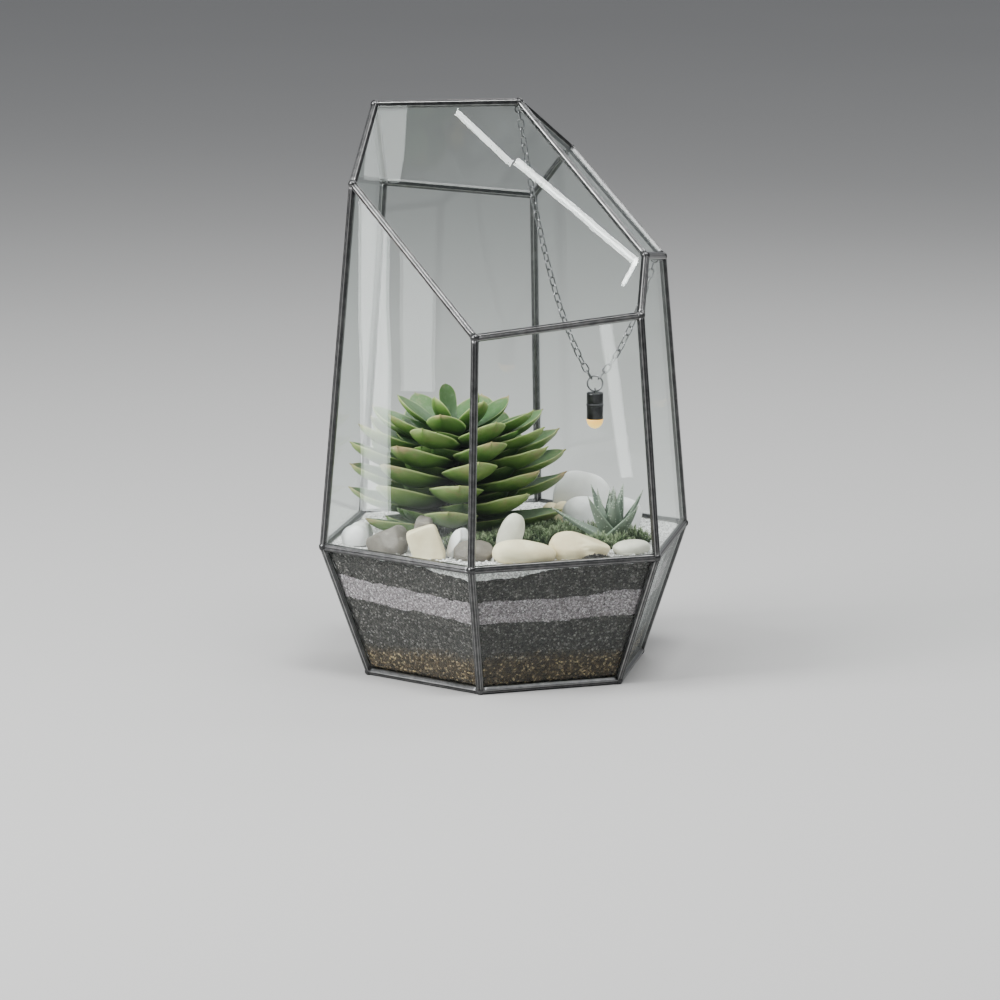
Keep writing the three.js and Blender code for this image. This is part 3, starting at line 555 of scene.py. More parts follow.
sides = 6
baseZ = house["barSize"] / 2
girdleZ = baseZ + house["girdleOverBase"]
lean = (house["girdleRadius"] - house["baseRadius"]) / house["girdleOverBase"]
flatOf = np.cos(np.radians(30))      # a hexagon's corner radius to its flat's distance


def cornerAngle(i):
    # corner 0 is at the front
    return np.radians(-90 + 60 * i)


def roofPlane(name):
    # a plane is its normal and the value of normal . point on it
    level, alongX, alongY = house["roof"][name]
    return np.array([-alongX, -alongY, 1, baseZ + level])


def sidePlane(i):
    # the upper pane between corners i and i + 1, which leans in by upperTaper for each mm of height
    facing = cornerAngle(i + 0.5)
    offset = flatOf * (house["girdleRadius"] + house["upperTaper"] * girdleZ)
    return np.array([np.cos(facing), np.sin(facing), flatOf * house["upperTaper"], offset])


def bowlPlane(i):
    # the lower pane between corners i and i + 1, which leans out by lean for each mm of height
    facing = cornerAngle(i + 0.5)
    offset = flatOf * (house["baseRadius"] - lean * baseZ)
    return np.array([np.cos(facing), np.sin(facing), -flatOf * lean, offset])


def meet(*planes):
    # the point that lies on all three planes
    rows = np.array(planes)
    return np.linalg.solve(rows[:, :3], rows[:, 3])


front, back, right = roofPlane("front"), roofPlane("back"), roofPlane("right")
floorPlane = np.array([0, 0, -1, -baseZ])
upper = [sidePlane(i) for i in range(sides)]
lower = [bowlPlane(i) for i in range(sides)]
baseCorners = [polar(house["baseRadius"], cornerAngle(i), baseZ) for i in range(sides)]
girdleCorners = [polar(house["girdleRadius"], cornerAngle(i), girdleZ) for i in range(sides)]
roofOver = [front, front, right, back, back, front]       # the roof face that each rib runs up to
ribTops = [meet(upper[i - 1], upper[i], roofOver[i]) for i in range(sides)]
apexLeft = meet(upper[4], front, back)
apexRight = meet(front, back, right)
notchFront = meet(upper[1], front, right)
notchBack = meet(upper[2], back, right)

# Bars

bars = {
    "flat": 1.92,             # from the middle to a flat
    "soft": 22.0,             # higher is crisper arrises
    "grooveDepth": 0.6, "grooveHalf": 0.2,      # where the two cames meet; the half width is an angle
    "lipHalf": 0.12, "lipWearAndHighlight": 0.85,           # the lips on each side of the groove, made bright by wear and painted highlight
    "around": 48, "step": 3.0,
    "joint": 2.36, "jointWearAndHighlight": 0.3,            # a solder joint's radius and how bright it is made, by wear and painted highlight
}


def barSection():
    # a hexagon with soft corners, r = flat * (sum of cos(turn from each flat)^soft)^(-1/soft), less a groove
    # exp(-(turn / half)^2) in the corner that faces outwards, towards which the angles crowd. The mark is 1
    # where r nears the corner radius, and lipWearAndHighlight on the groove's lips
    t = np.linspace(0, 1, bars["around"], endpoint=False)
    angle = 2 * np.pi * t - 0.7 * np.sin(2 * np.pi * t)
    flats = np.radians(30 + 60 * np.arange(sides))
    reach = np.clip(np.cos(angle[:, None] - flats), 0, None) ** bars["soft"]
    radius = bars["flat"] * reach.sum(1) ** (-1 / bars["soft"])
    turn = (angle + np.pi) % (2 * np.pi) - np.pi
    groove = np.exp(-(turn / bars["grooveHalf"]) ** 2)
    lip = bars["lipWearAndHighlight"] * np.exp(-((np.abs(turn) - 1.9 * bars["grooveHalf"]) / bars["lipHalf"]) ** 2)
    # the mark arris: where the finish paints the arrises bright, partly as wear and partly as painted
    # highlight
    arris = np.clip((radius / bars["flat"] - 1.06) / 0.05, 0, 1) * (1 - groove)
    radius = radius - bars["grooveDepth"] * groove
    return radius * np.cos(angle), radius * np.sin(angle), np.clip(np.maximum(arris, lip) - groove, 0, 1)


def aboveTable(points):
    # nothing reaches below the face that the house stands on
    points[..., 2] = np.maximum(points[..., 2], 0)
    return points


def barShape(start, end, planeA, planeB):
    # the section carried from start to end, its groove facing between the two panes, with a slight unevenness
    length = np.linalg.norm(end - start)
    along = unit(end - start)
    outward = unit(planeA[:3]) + unit(planeB[:3])
    outward = unit(outward - along * (outward @ along))
    sideways = np.cross(along, outward)
    a, b, arris = barSection()
    count = max(2, int(length / bars["step"]))
    share = np.linspace(0, 1, count + 1)[:, None, None]
    middle = start + (end - start) * share
    rings = middle + outward * a[None, :, None] + sideways * b[None, :, None]
    uneven = 1 + 0.016 * softNoise(middle, 9, 3) + 0.008 * softNoise(rings, 2.5, 5)
    rings = aboveTable(middle + (rings - middle) * uneven[..., None])
    return skin(start, rings, end, arris=ringMark(np.tile(arris, (count + 1, 1)), 0, 0))


def jointShape(at):
    # a solder joint: a sphere of about a bar's width with a slow wobble
    ball = ballRings(16, 26)
    wobble = 1 + 0.035 * softNoise(at + ball * 3, 2.2, 7)[..., None]
    rings = aboveTable(at + ball * bars["joint"] * wobble)
    foot = np.array([at[0], at[1], rings[0, 0, 2]])
    return skin(foot, rings, at + [0, 0, bars["joint"]], arris=bars["jointWearAndHighlight"])


def onwards(ring):
    # each corner of a ring with the next one
    return list(zip(ring, ring[1:] + ring[:1]))


# The chain hangs in the upright plane from the roof's right apex to the top of the third rib

chainTurn = np.arctan2(ribTops[2][1] - apexRight[1], ribTops[2][0] - apexRight[0])
chainDirection = polar(1, chainTurn, 0.0)
upwards = np.array([0.0, 0.0, 1.0])
eyelet = {
    "radius": 1.9, "wire": 0.8,
    "drop": 3.7,              # of the high one below the apex
    "reach": 4.4, "slope": -0.3,                # of the low one from its rib's top
}
eyeletHigh = apexRight - upwards * eyelet["drop"]
eyeletLow = ribTops[2] + unit(upwards * eyelet["slope"] - chainDirection) * eyelet["reach"]

ringBars = {                  # each bar's two ends, and the two faces that meet in it
    "base_ring": [(*ends, floorPlane, lower[i]) for i, ends in enumerate(onwards(baseCorners))],
    "girdle_ring": [(*ends, lower[i], upper[i]) for i, ends in enumerate(onwards(girdleCorners))],
    "top_frame": [
        (apexLeft, ribTops[5], front, upper[4]), (ribTops[5], ribTops[0], front, upper[5]),
        (ribTops[0], ribTops[1], front, upper[0]), (ribTops[1], notchFront, front, upper[1]),
        (notchFront, apexRight, front, right), (apexRight, apexLeft, front, back),
        (notchFront, ribTops[2], right, upper[1]), (ribTops[2], notchBack, right, upper[2]),
        (notchBack, apexRight, right, back), (notchBack, ribTops[3], back, upper[2]),
        (ribTops[3], ribTops[4], back, upper[3]), (ribTops[4], apexLeft, back, upper[4]),
    ],
}
ringJoints = {
    "base_ring": baseCorners, "girdle_ring": girdleCorners,
    "top_frame": ribTops + [apexLeft, apexRight, notchFront, notchBack],
}
for node, stretches in ringBars.items():
    parts = [barShape(*stretch) for stretch in stretches] + [jointShape(at) for at in ringJoints[node]]
    if node == "top_frame":
        for at in (eyeletHigh, eyeletLow):
            parts.append(torus(at, chainDirection, upwards, eyelet["radius"], eyelet["wire"], arris=0.5))
    newPiece("bars_" + node, combine(parts), cameMetal, "frame_metal", [node])
for i in range(sides):
    lowRib = barShape(baseCorners[i], girdleCorners[i], lower[i - 1], lower[i])
    highRib = barShape(girdleCorners[i], ribTops[i], upper[i - 1], upper[i])
    newPiece(f"bar_lower_{i + 1}", lowRib, cameMetal, "frame_metal", [f"lower_rib_{i + 1}"])
    newPiece(f"bar_upper_{i + 1}", highRib, cameMetal, "frame_metal", [f"upper_rib_{i + 1}"])
print("bars made")

# Panes

paneEdge = 0.9            # from a bar's centre line to the glass held inside it


def paneShape(corners):
    # a flat sheet: the polygon drawn in by paneEdge along its sides, and half the thickness to each side
    corners = np.array(corners)
    ahead = np.roll(corners, -1, 0)
    after = (ahead - corners) / np.linalg.norm(ahead - corners, axis=1)[:, None]
    normal = unit(np.cross(corners, ahead).sum(0))
    inward = np.cross(normal, np.roll(after, 1, 0) + after)
    inset = corners + inward * (2 * paneEdge / (inward ** 2).sum(1))[:, None]
    offset = normal * house["paneThickness"] / 2
    count = len(corners)
    j = np.arange(count)
    k = (j + 1) % count
    edges = np.stack([j, k, k + count, j + count], -1)
    faces = [edges, j[None, ::-1], j[None, :] + count]
    return shape(np.concatenate([inset - offset, inset + offset]), faces)


panes = {"base_pane": baseCorners[::-1]}
peaks = {1: [notchFront], 2: [notchBack], 4: [apexLeft]}        # extra corners of three of the upper panes
for i in range(sides):
    base, girdle, top = [onwards(ring)[i] for ring in (baseCorners, girdleCorners, ribTops)]
    panes[f"lower_pane_{i + 1}"] = [*base, *girdle[::-1]]
    panes[f"upper_pane_{i + 1}"] = [*girdle, top[1], *peaks.get(i, []), top[0]]
panes["front_roof_pane"] = [apexLeft, ribTops[5], ribTops[0], ribTops[1], notchFront, apexRight]
panes["back_roof_pane"] = [apexRight, notchBack, ribTops[3], ribTops[4], apexLeft]
panes["right_roof_pane"] = [notchFront, ribTops[2], notchBack, apexRight]
for node, corners in panes.items():
    sheet = bowlGlass if node.startswith("lower") else clearGlass
    newPiece("glass_" + node, paneShape(corners), sheet, "clear_glass", [node], smooth=False)
print("panes made")

# Bands of grit, gravel and sand, pressed against the glass

fill = {
    "inset": 1.08,            # from a pane's middle plane to the grains' faces, square to the glass
    "cornerCut": 1.7,         # how far the filling's corners stand back from a rib, along the glass
    "columns": 1300, "rowStep": 0.45,
    "floor": 3.3,             # the grit's underside, over the base pane
    "footPull": 1.7, "footTop": 4.9, "footFade": 1.5,       # the foot stands back from the base ring
    "lump": 0.25, "lumpSize": 4.5,              # slow lumps in the walls, from 0 to twice as deep
    "caps": (0.4, 0.97),      # the rings over and under a band, as shares of its wall's radius
    "ripples": [(1.0, 19, 1), (0.8, 7, 2), (0.45, 2.4, 3)],     # unevenness of an edge: height, size, seed
    "crumbs": (0.5, 1.1, 4),
}
grit, gravel, paleGrains = (brownGrit, "brown_grit"), (darkGravel, "dark_gravel"), (paleSand, "pale_sand")
bands = {                     # from the bottom; top is a level, a wave and a lean
    "drainage_grit": {"top": (17.8, 2.2, 0.8), "grain": 1.3, "relief": 0.65, "seed": 11, "finish": grit},
    "lower_gravel": {"top": (37.3, -0.7, -2.7), "grain": 1.1, "relief": 0.55, "seed": 23, "finish": gravel},
    "pale_band": {"top": (50.2, -2.2, -0.8), "grain": 1.0, "relief": 0.4, "seed": 37, "finish": paleGrains},
    "upper_gravel": {"top": (63.7, -1.9, 0.0), "grain": 1.1, "relief": 0.55, "seed": 53, "finish": gravel},
}
rise = {                      # the upper gravel reaches up to the girdle, but for a dip at the front rib
    "height": 1.9, "highest": 66.4, "frontDip": 3.3,
    "dipLeft": 13.0, "dipRight": 20.0,          # the dip's half widths in degrees
    "calm": (0.15, 0.8),      # the least and greatest share of the unevenness
}
glassTilt = np.cos(np.arctan(flatOf * lean))


def bandTop(name, heading):
    # level + wave * cos(twice the turn from the front rib) + lean * cos(heading) + an uneven edge. The upper
    # gravel is raised, less a dip of frontDip * exp(-(degrees from the front rib / half width)^2)
    level, wave, sideways = bands[name]["top"]
    smooth = baseZ + level + wave * np.cos(2 * (heading - cornerAngle(0))) + sideways * np.cos(heading)
    where = polar(90.0, heading, bands[name]["seed"] * 40.0)
    uneven = sum(height * softNoise(where, size, seed) for height, size, seed in fill["ripples"])
    if name == "upper_gravel":
        fromFront = (np.degrees(heading) + 90 + 180) % 360 - 180
        width = np.where(fromFront < 0, rise["dipLeft"], rise["dipRight"])
        dip = rise["frontDip"] * np.exp(-(fromFront / width) ** 2)
        smooth = np.minimum(smooth + rise["height"] - dip, rise["highest"])
        uneven = uneven * np.clip(dip, *rise["calm"])
    height, size, seed = fill["crumbs"]
    return smooth + uneven + height * softNoise(where, size, seed)


def wallRadius(heading, z, pullIn=0.0):
    # straight along each pane, and a flat chamfer across each corner: the nearer of the two lines
    apothem = flatOf * (house["baseRadius"] + lean * (z - baseZ)) - fill["inset"] / glassTilt - pullIn
    turn = np.radians(60)
    fromFlat = (heading - cornerAngle(0.5) + turn / 2) % turn - turn / 2
    fromCorner = (heading - cornerAngle(0) + turn / 2) % turn - turn / 2
    chamfer = apothem / flatOf - fill["cornerCut"] / 2
    return np.minimum(apothem / np.cos(fromFlat), chamfer / np.cos(fromCorner))


def grainWall(rings, grain, relief, seed):
    # points drawn in towards the axis by relief * gap^2, so that each grain stands out as a small dome, and
    # by slow lumps of lump * (1 + noise)
    gap = grainGap(rings, grain, seed)
    lumps = fill["lump"] * (1 + softNoise(rings, fill["lumpSize"], seed))
    out = rings * [1, 1, 0]
    out = out / np.linalg.norm(out, axis=-1)[..., None]
    return rings - out * (relief * np.minimum(gap, 1.0) ** 2 + lumps)[..., None], gap


def bandShape(name, below):
    # from under its middle out to the wall, up the wall from the band below, and back over to the middle. The
    # mark up is the share of the way up the wall
    band = bands[name]
    heading = np.linspace(-np.pi, np.pi, fill["columns"], endpoint=False)
    low = bandTop(below, heading) if below else np.full_like(heading, fill["floor"])
    high = bandTop(name, heading)
    rows = int((high - low).mean() / fill["rowStep"]) + 1
    share = np.linspace(0, 1, rows + 1)[:, None]
    z = low + (high - low) * share
    pullIn = fill["footPull"] * np.clip((fill["footTop"] - z) / fill["footFade"], 0, 1)
    wall = polar(wallRadius(heading, z, pullIn), heading, z)
    wall, gap = grainWall(wall, band["grain"], band["relief"], band["seed"])
    under = [wall[0] * [s, s, 1] for s in fill["caps"]]
    over = [wall[-1] * [s, s, 1] for s in fill["caps"][::-1]]
    plain = np.full((len(fill["caps"]), fill["columns"]), 0.5)
    up = np.concatenate([0 * plain, np.broadcast_to(share, z.shape), 2 * plain])
    # the mark gap, from the grains' relief, sets the finish's painted shade between the grains
    gap = np.concatenate([plain, gap, plain])
    return skin(
        upwards * low.mean(), np.concatenate([under, wall, over]), upwards * high.mean(),
        gap=ringMark(gap, 0.5, 0.5), up=ringMark(up, 0, 1))


below = None
for name, band in bands.items():
    newPiece("band_" + name, bandShape(name, below), *band["finish"], [name])
    below = name
print("bands made")

sand = {
    "columns": 620, "rings": 76, "wallRows": 9, "grain": 1.5, "relief": 0.5, "seed": 71,
    "edge": 66.9,             # height of the sand where it passes under the girdle ring
    "leastWall": 0.3,         # least height of its wall on the glass
    "brim": 84.3,             # distance of the girdle ring's inner side, where the sand is level again
    "brimLevel": 66.0,        # height whose outline the brim follows
    "humps": [(0.5, 22, 4), (0.3, 8, 5)],       # height, size, seed
    "lift": 0.25, "slice": 0.4,                 # raises the top, and where the top cuts the scattered grains
    "under": 0.9, "innermost": 0.008,           # the lowest and the last ring, as shares of the outline
    "crowding": 0.9,          # below 1, the top's rings crowd towards the outline
}


def sandHeight(points):
    # level, with low humps, less relief * gap^2, which leaves a dome for each grain
    flat = points * [1, 1, 0]
    humps = sum(height * softNoise(flat, size, seed) for height, size, seed in sand["humps"])
    gap = grainGap(flat + [0, 0, sand["slice"]], sand["grain"], sand["seed"])
    return house["sandLevel"] + humps - sand["relief"] * np.minimum(gap, 1.0) ** 2 + sand["lift"], gap


def brimRadius(heading):
    # the sand's outline inside the girdle ring
    level = sand["brimLevel"]
    return sand["brim"] * wallRadius(heading, level) / wallRadius(cornerAngle(0.5), level)


def sandShape():
    # up the glass from the gravel, in under the girdle ring, then over the level top to the middle
    heading = np.linspace(-np.pi, np.pi, sand["columns"], endpoint=False)
    low = bandTop("upper_gravel", heading)
    high = np.maximum(low + sand["leastWall"], sand["edge"])
    wallZ = low + (high - low) * np.linspace(0, 1, sand["wallRows"])[:, None]
    wall = polar(wallRadius(heading, wallZ), heading, wallZ)
    wall, wallGap = grainWall(wall, sand["grain"], sand["relief"], sand["seed"])
    share = np.linspace(1, sand["innermost"], sand["rings"])[:, None] ** sand["crowding"]
    top = polar(brimRadius(heading) * share, heading, 0.0)
    top[..., 2], topGap = sandHeight(top)
    under = wall[0] * [sand["under"], sand["under"], 1]
    # the mark gap, from the grains' relief, sets the finish's painted shade between the grains
    gap = np.concatenate([np.full((1, sand["columns"]), 0.5), wallGap, topGap])
    return skin(
        upwards * low.mean(), np.concatenate([[under], wall, top]), upwards * house["sandLevel"],
        gap=ringMark(gap, 0.5, 0.5))


def repeated(faces, copies, count):
    # the faces of one shape with count points, for copies of it one after another
    return (faces[None] + np.arange(copies)[:, None, None] * count).reshape(-1, faces.shape[1])


def looseGrains(places, sizes, seed, **marks):
    # twenty-sided chips, each stretched and turned by its own chances
    g = (1 + 5 ** 0.5) / 2
    signs = np.array([(-1, g), (1, g), (-1, -g), (1, -g)])
    zero = np.zeros((4, 1))
    corners = np.concatenate([
        np.hstack([signs, zero]), np.hstack([zero, signs]), np.hstack([signs[:, 1:], zero, signs[:, :1]]),
    ]) / np.hypot(1, g)
    faces = np.array([
        (0, 11, 5), (0, 5, 1), (0, 1, 7), (0, 7, 10), (0, 10, 11), (1, 5, 9), (5, 11, 4), (11, 10, 2),
        (10, 7, 6), (7, 1, 8), (3, 9, 4), (3, 4, 2), (3, 2, 6), (3, 6, 8), (3, 8, 9), (4, 9, 5), (2, 4, 11),
        (6, 2, 10), (8, 6, 7), (9, 8, 1)])
    n = np.arange(len(places))
    stretch = 0.7 + 0.6 * np.stack([chance(n, seed + k) for k in range(3)], -1)
    points = corners[None] * stretch[:, None] * sizes[:, None, None] / 2
    points = turnAbout(points, "X", 360 * chance(n, seed + 5)[:, None])
    points = turnAbout(points, "Z", 360 * chance(n, seed + 4)[:, None])
    return shape(points + places[:, None], [repeated(faces, len(n), len(corners))], **marks)


# gap is the mark that sets the chips' painted shade in the grain finish
chips = {"count": 2600, "inside": 0.97, "lift": 0.2, "least": 0.9, "spread": 1.1, "gap": 0.35}


def looseChips():
    # chips over the sand, even by area: radius share = sqrt of a chance, at a chance heading
    n = np.arange(chips["count"])
    heading = 2 * np.pi * chance(n, 5)
    share = np.sqrt(chance(n, 6)) * chips["inside"]
    places = polar(share * brimRadius(heading), heading, 0.0)
    places[:, 2] = sandHeight(places)[0] + chips["lift"]
    return looseGrains(places, chips["least"] + chips["spread"] * chance(n, 9), 20, gap=chips["gap"])


heap = {
    "middle": (57.5, -63.5), "turn": 30.0, "size": (9.5, 3.0), "height": 3.3,
    "count": 560, "lift": 0.3, "least": 0.7, "spread": 0.6,
}


def heapGrains():
    # a small spill of dark gravel on the sand: places spread by squared chances, heaped in the middle
    n = np.arange(heap["count"])
    out, heading = np.sqrt(chance(n, 41)), 2 * np.pi * chance(n, 42)
    flat = polar(out, heading, 0.0) * [*heap["size"], 1.0]
    places = turnAbout(flat, "Z", heap["turn"]) + [*heap["middle"], house["sandLevel"]]
    places[:, 2] += heap["lift"] + heap["height"] * (1 - out ** 2) * chance(n, 43)
    return looseGrains(places, heap["least"] + heap["spread"] * chance(n, 44), 45, gap=chips["gap"])


newPiece("sand_white", combine([sandShape(), looseChips()]), whiteSand, "white_sand", ["white_sand"])
newPiece("gravel_spill", heapGrains(), darkGravel, "dark_gravel")
print("sand made")

# Leaves


def leafShape(leaf):
    # the middle line is an arc that rises and curls up: turn = lift + curl * u, x = root + length / curl *
    # (sin turn - sin lift), z = length / curl * (cos lift - cos turn). Its width grows from narrow to 1 as
    # sin^1.3 up to the widest place, and rounds off as (1 - s^taper)^blunt to a small point. Across it, the
    # upper face is a shallow dish, and the lower face a keel of depth (1 - |a|^ridge)^0.85
    tipRows = [0.94, 0.965, 0.982, 0.993, 1.0, 1.012, 1.026]
    u = np.concatenate([np.linspace(0, 0.9, leaf["along"]), tipRows])[:, None]
    phi = wholeTurn(leaf["around"])
    a = np.cos(phi)
    widest = leaf["widest"]
    tipShare = np.clip((u - widest) / (1 - widest), 0, 1)
    rising = leaf["narrow"] + (1 - leaf["narrow"]) * np.sin(np.pi / 2 * np.minimum(u / widest, 1)) ** 1.3
    falling = (1 - tipShare ** leaf["taper"]) ** leaf["blunt"]
    point = leaf["point"] * np.clip((1.035 - u) / 0.035, 0, 1)
    width = np.maximum(np.where(u < widest, rising, falling), point)
    wide = leaf["halfWidth"] * width
    deep = leaf["keel"] * (0.7 + 0.3 * np.sin(np.pi * np.minimum(u, 1))) * np.sqrt(width)
    edge = np.abs(a)
    topSide = leaf["dish"] * wide * edge ** 1.6 - 0.05 * deep * (1 - edge ** 2)
    lowSide = leaf["dish"] * wide * edge ** 6 - deep * np.clip(1 - edge ** leaf["ridge"], 0, 1) ** 0.85
    up = np.where(np.sin(phi) >= 0, topSide, lowSide)
    side = leaf["sway"] * np.sin(np.pi * np.minimum(u, 1)) * leaf["halfWidth"]
    lift, curl = np.radians(leaf["lift"]), np.radians(leaf["curl"])
    turn = lift + curl * u
    x = leaf["root"] + leaf["length"] / curl * (np.sin(turn) - np.sin(lift))
    z = leaf["length"] / curl * (np.cos(lift) - np.cos(turn))
    rings = grid(x - up * np.sin(turn), a * wide + side, z + up * np.cos(turn))
    wave = leaf["uneven"] * softNoise(rings + leaf["seed"] * 61.7, 8, 2)
    rings[..., 2] += wave * np.minimum(1, u * 4)
    rings = rings[::-1]
    varying = {"along": u, "rim": edge, "across": a * width, "upper": np.clip(np.sin(phi) * 3 + 0.5, 0, 1)}
    marks = {
        name: ringMark(np.broadcast_to(value, up.shape)[::-1], 1 if name == "along" else 0.5, 0.5)
        for name, value in varying.items()}
    marks["own"], marks["age"] = chance(leaf["seed"], 8), leaf["age"]
    return skin(rings[0].mean(0), rings, rings[-1].mean(0), **marks)


rosette = {                   # angles in degrees
    "place": (-26.4, 0.6), "leaves": 48, "divergence": 136, "firstHeading": 91,
    "low": 75.5, "rise": 47.5,                  # the lowest leaf's height, and the crown's above that
    "spoon": 45, "spoonSwing": 44,              # the leaf that stands up at the crown
    "inner": [(range(1, 38, 2), 0.5, 23), (range(0, 30, 3), 0.25, 68)],         # after which, how far, swing
    "stem": {"radius": 6, "foot": 58, "topRadius": 3.4},
    "leaf": {
        "curl": 22, "root": 2, "narrow": 0.32, "taper": 2.0, "point": 0.05, "uneven": 0.45, "ridge": 1.6,
        "along": 18, "around": 32,
    },
}


def echeveriaLeafAt(n, inner=0):
    # leaves at an even turn from each other up a short stem, crowded and upright at the crown. With inner, a
    # shorter leaf swung by that angle, to stand in a gap
    u = n / (rosette["leaves"] - 1)
    spoon = n == rosette["spoon"]
    length = 26 if spoon else 54 + 2 * np.sin(np.pi * u) - 34 * u ** 5 + 4 * (chance(n, 1) - 0.5)
    halfWidth = 5.4 if spoon else 14.6 - 1.2 * u - 7.5 * u ** 6 + 1.2 * (chance(n, 2) - 0.5)
    lift = 55 if spoon else 1 + 7 * u + 46 * u ** 12 - 9 * (1 - u) ** 8 + 4 * (chance(n, 3) - 0.5)
    swing = rosette["spoonSwing"] if spoon else 6 * (chance(n, 5) - 0.5)
    if inner:
        length, halfWidth, swing = 0.66 * length, 0.85 * halfWidth, swing + inner
    made = leafShape({
        **rosette["leaf"], "seed": n, "age": u, "length": length, "halfWidth": halfWidth, "lift": lift,
        "keel": 6.6 - 4.4 * u ** 4 - (1 - u) ** 8, "dish": 0.02 + 0.05 * chance(n, 9) + 0.1 * u ** 4,
        "blunt": 0.5 if spoon else 0.72, "widest": 0.74 if spoon else 0.62,
        "sway": 0.25 * (chance(n, 7) - 0.5),
    })
    points = turnAbout(made["points"], "X", 10 * (chance(n, 4) - 0.5))
    points = turnAbout(points, "Z", rosette["firstHeading"] + rosette["divergence"] * n + swing)
    rise = rosette["low"] + rosette["rise"] * (1 - (1 - u) ** 1.5)
    made["points"] = points + [*rosette["place"], rise]
    # painted shade: an inner leaf's along mark is lowered so that it takes the darker colours of a leaf's
    # base, as leaves in the gaps lie in shade
    if inner:
        made["marks"]["along"] *= 0.6
    return made


def stemShape(place, top, radius, foot, topRadius):
    # a plain stem from its foot in the gravel, tapering above the sand
    z = np.array([[foot], [house["sandLevel"]], [top]])
    rings = polar(np.array([[radius], [radius], [topRadius]]), wholeTurn(20), z) + [*place, 0]
    # with the echeveria's finish, along 0 paints the stem in the painted shade of the leaf bases
    marks = {"along": 0.0, "rim": 0.3, "across": 0.0, "upper": 0.0, "own": 0.5, "age": 0.0}
    return skin(np.array([*place, foot]), rings, np.array([*place, top + 1]), **marks)


leaves = [echeveriaLeafAt(n) for n in range(rosette["leaves"])]
for numbers, further, swing in rosette["inner"]:
    leaves += [echeveriaLeafAt(n + further, swing) for n in numbers]
leaves.append(stemShape(rosette["place"], rosette["low"] + rosette["rise"], **rosette["stem"]))
newPiece("echeveria_rosette", combine(leaves), echeveriaLeaf, "echeveria_leaf", ["echeveria"])
print("echeveria made")

succulent = {                 # angles in degrees
    "place": (58.9, -19.3), "leaves": 14, "divergence": 137.5, "firstHeading": 182,
    "low": 2.6, "rise": 3.4,  # the lowest leaf's height on the sand, and the middle's above that
    "reaching": {"length": 8.0, "lift": -10.0, "curl": -4.0},       # the first leaf is longer and lower
    "stem": {"radius": 2.6, "foot": 58, "topRadius": 2.2},
    "leaf": {
        "root": 0.5, "narrow": 0.85, "widest": 0.12, "blunt": 1.0, "taper": 1.35, "point": 0.03, "dish": 0.22,
        "ridge": 1.3, "uneven": 0.15, "sway": 0.0, "along": 16, "around": 18,
    },
    "stemTop": 6,             # over the sand
    "specks": {"count": 60, "least": 0.38, "spread": 0.32},         # on each leaf, and their size
    "speck": {"along": 0.1, "rim": 1.5, "across": 0.0, "upper": 1.0, "own": 0.0, "age": 1.0},
}


def haworthiaLeafAt(n):
    # a broad-based leaf tapering to a spine, upright in the middle and spreading at the outside, with specks
    # at chance points of its skin
    u = n / (succulent["leaves"] - 1)
    reaching = succulent["reaching"] if n == 0 else {"length": 0, "lift": 0, "curl": 0}
    made = leafShape({
        **succulent["leaf"], "seed": n + 100, "age": u,
        "length": 22 + 8 * np.sin(np.pi * min(1, 0.25 + u)) + 3 * (chance(n, 6) - 0.5) + reaching["length"],
        "halfWidth": 6.4 - 1.8 * u, "keel": 2.5 - 0.5 * u,
        "lift": 34 + 51 * u ** 0.85 + reaching["lift"], "curl": 12 + reaching["curl"],
    })
    around = succulent["leaf"]["around"]
    rows = made["points"][1:-1].reshape(-1, around, 3)
    dots = succulent["specks"]
    k = n * 40 + np.arange(dots["count"])
    row = (4 + (len(rows) - 8) * chance(k, 31)).astype(int)
    column = (chance(k, 32) * (around - 0.1)).astype(int)
    sizes = dots["least"] + dots["spread"] * chance(k, 33)
    specks = looseGrains(rows[row, column], sizes, 60 + n, **succulent["speck"])
    for part in (made, specks):
        points = turnAbout(part["points"], "Z", succulent["firstHeading"] + succulent["divergence"] * n)
        height = house["sandLevel"] + succulent["low"] + succulent["rise"] * u
        part["points"] = points + [*succulent["place"], height]
    return made, specks


spikes = [part for n in range(succulent["leaves"]) for part in haworthiaLeafAt(n)]
spikes.append(stemShape(succulent["place"], house["sandLevel"] + succulent["stemTop"], **succulent["stem"]))
newPiece("haworthia_rosette", combine(spikes), haworthiaLeaf, "haworthia_leaf", ["haworthia"])
print("haworthia made")

# Moss

moss = {
    "mounds": [               # place and radius
        (-17, -46, 6.5), (-7, -42, 6.5), (-1, -31.5, 6.5), (9, -24, 7.5), (20, -21, 8), (31, -19, 8),
        (20, -6, 9), (33, -5, 8), (15, 7, 8), (26, 7.5, 7.5), (15, 20, 8), (44, 1, 7.5), (54, 0, 7),
        (65, -6, 7), (72, -15, 5.5), (54, -31, 6), (64.5, -28, 5.5)],
    "crest": 3.8,             # height of a mound
    "sprigs": 82,             # on each mound
    "needles": 12, "height": 4.8, "needle": 2.8, "needleWidth": 0.38,           # of a sprig
    "lean": 38, "leanSpread": 30,               # degrees outwards at a mound's edge
    "least": 0.62, "spread": 0.5,               # a sprig's size
}


def domed(share):
    # height over the sand at a share of a mound's radius: crest * (1 - share^2)^0.8
    return moss["crest"] * np.clip(1 - share ** 2, 0, 1) ** 0.8


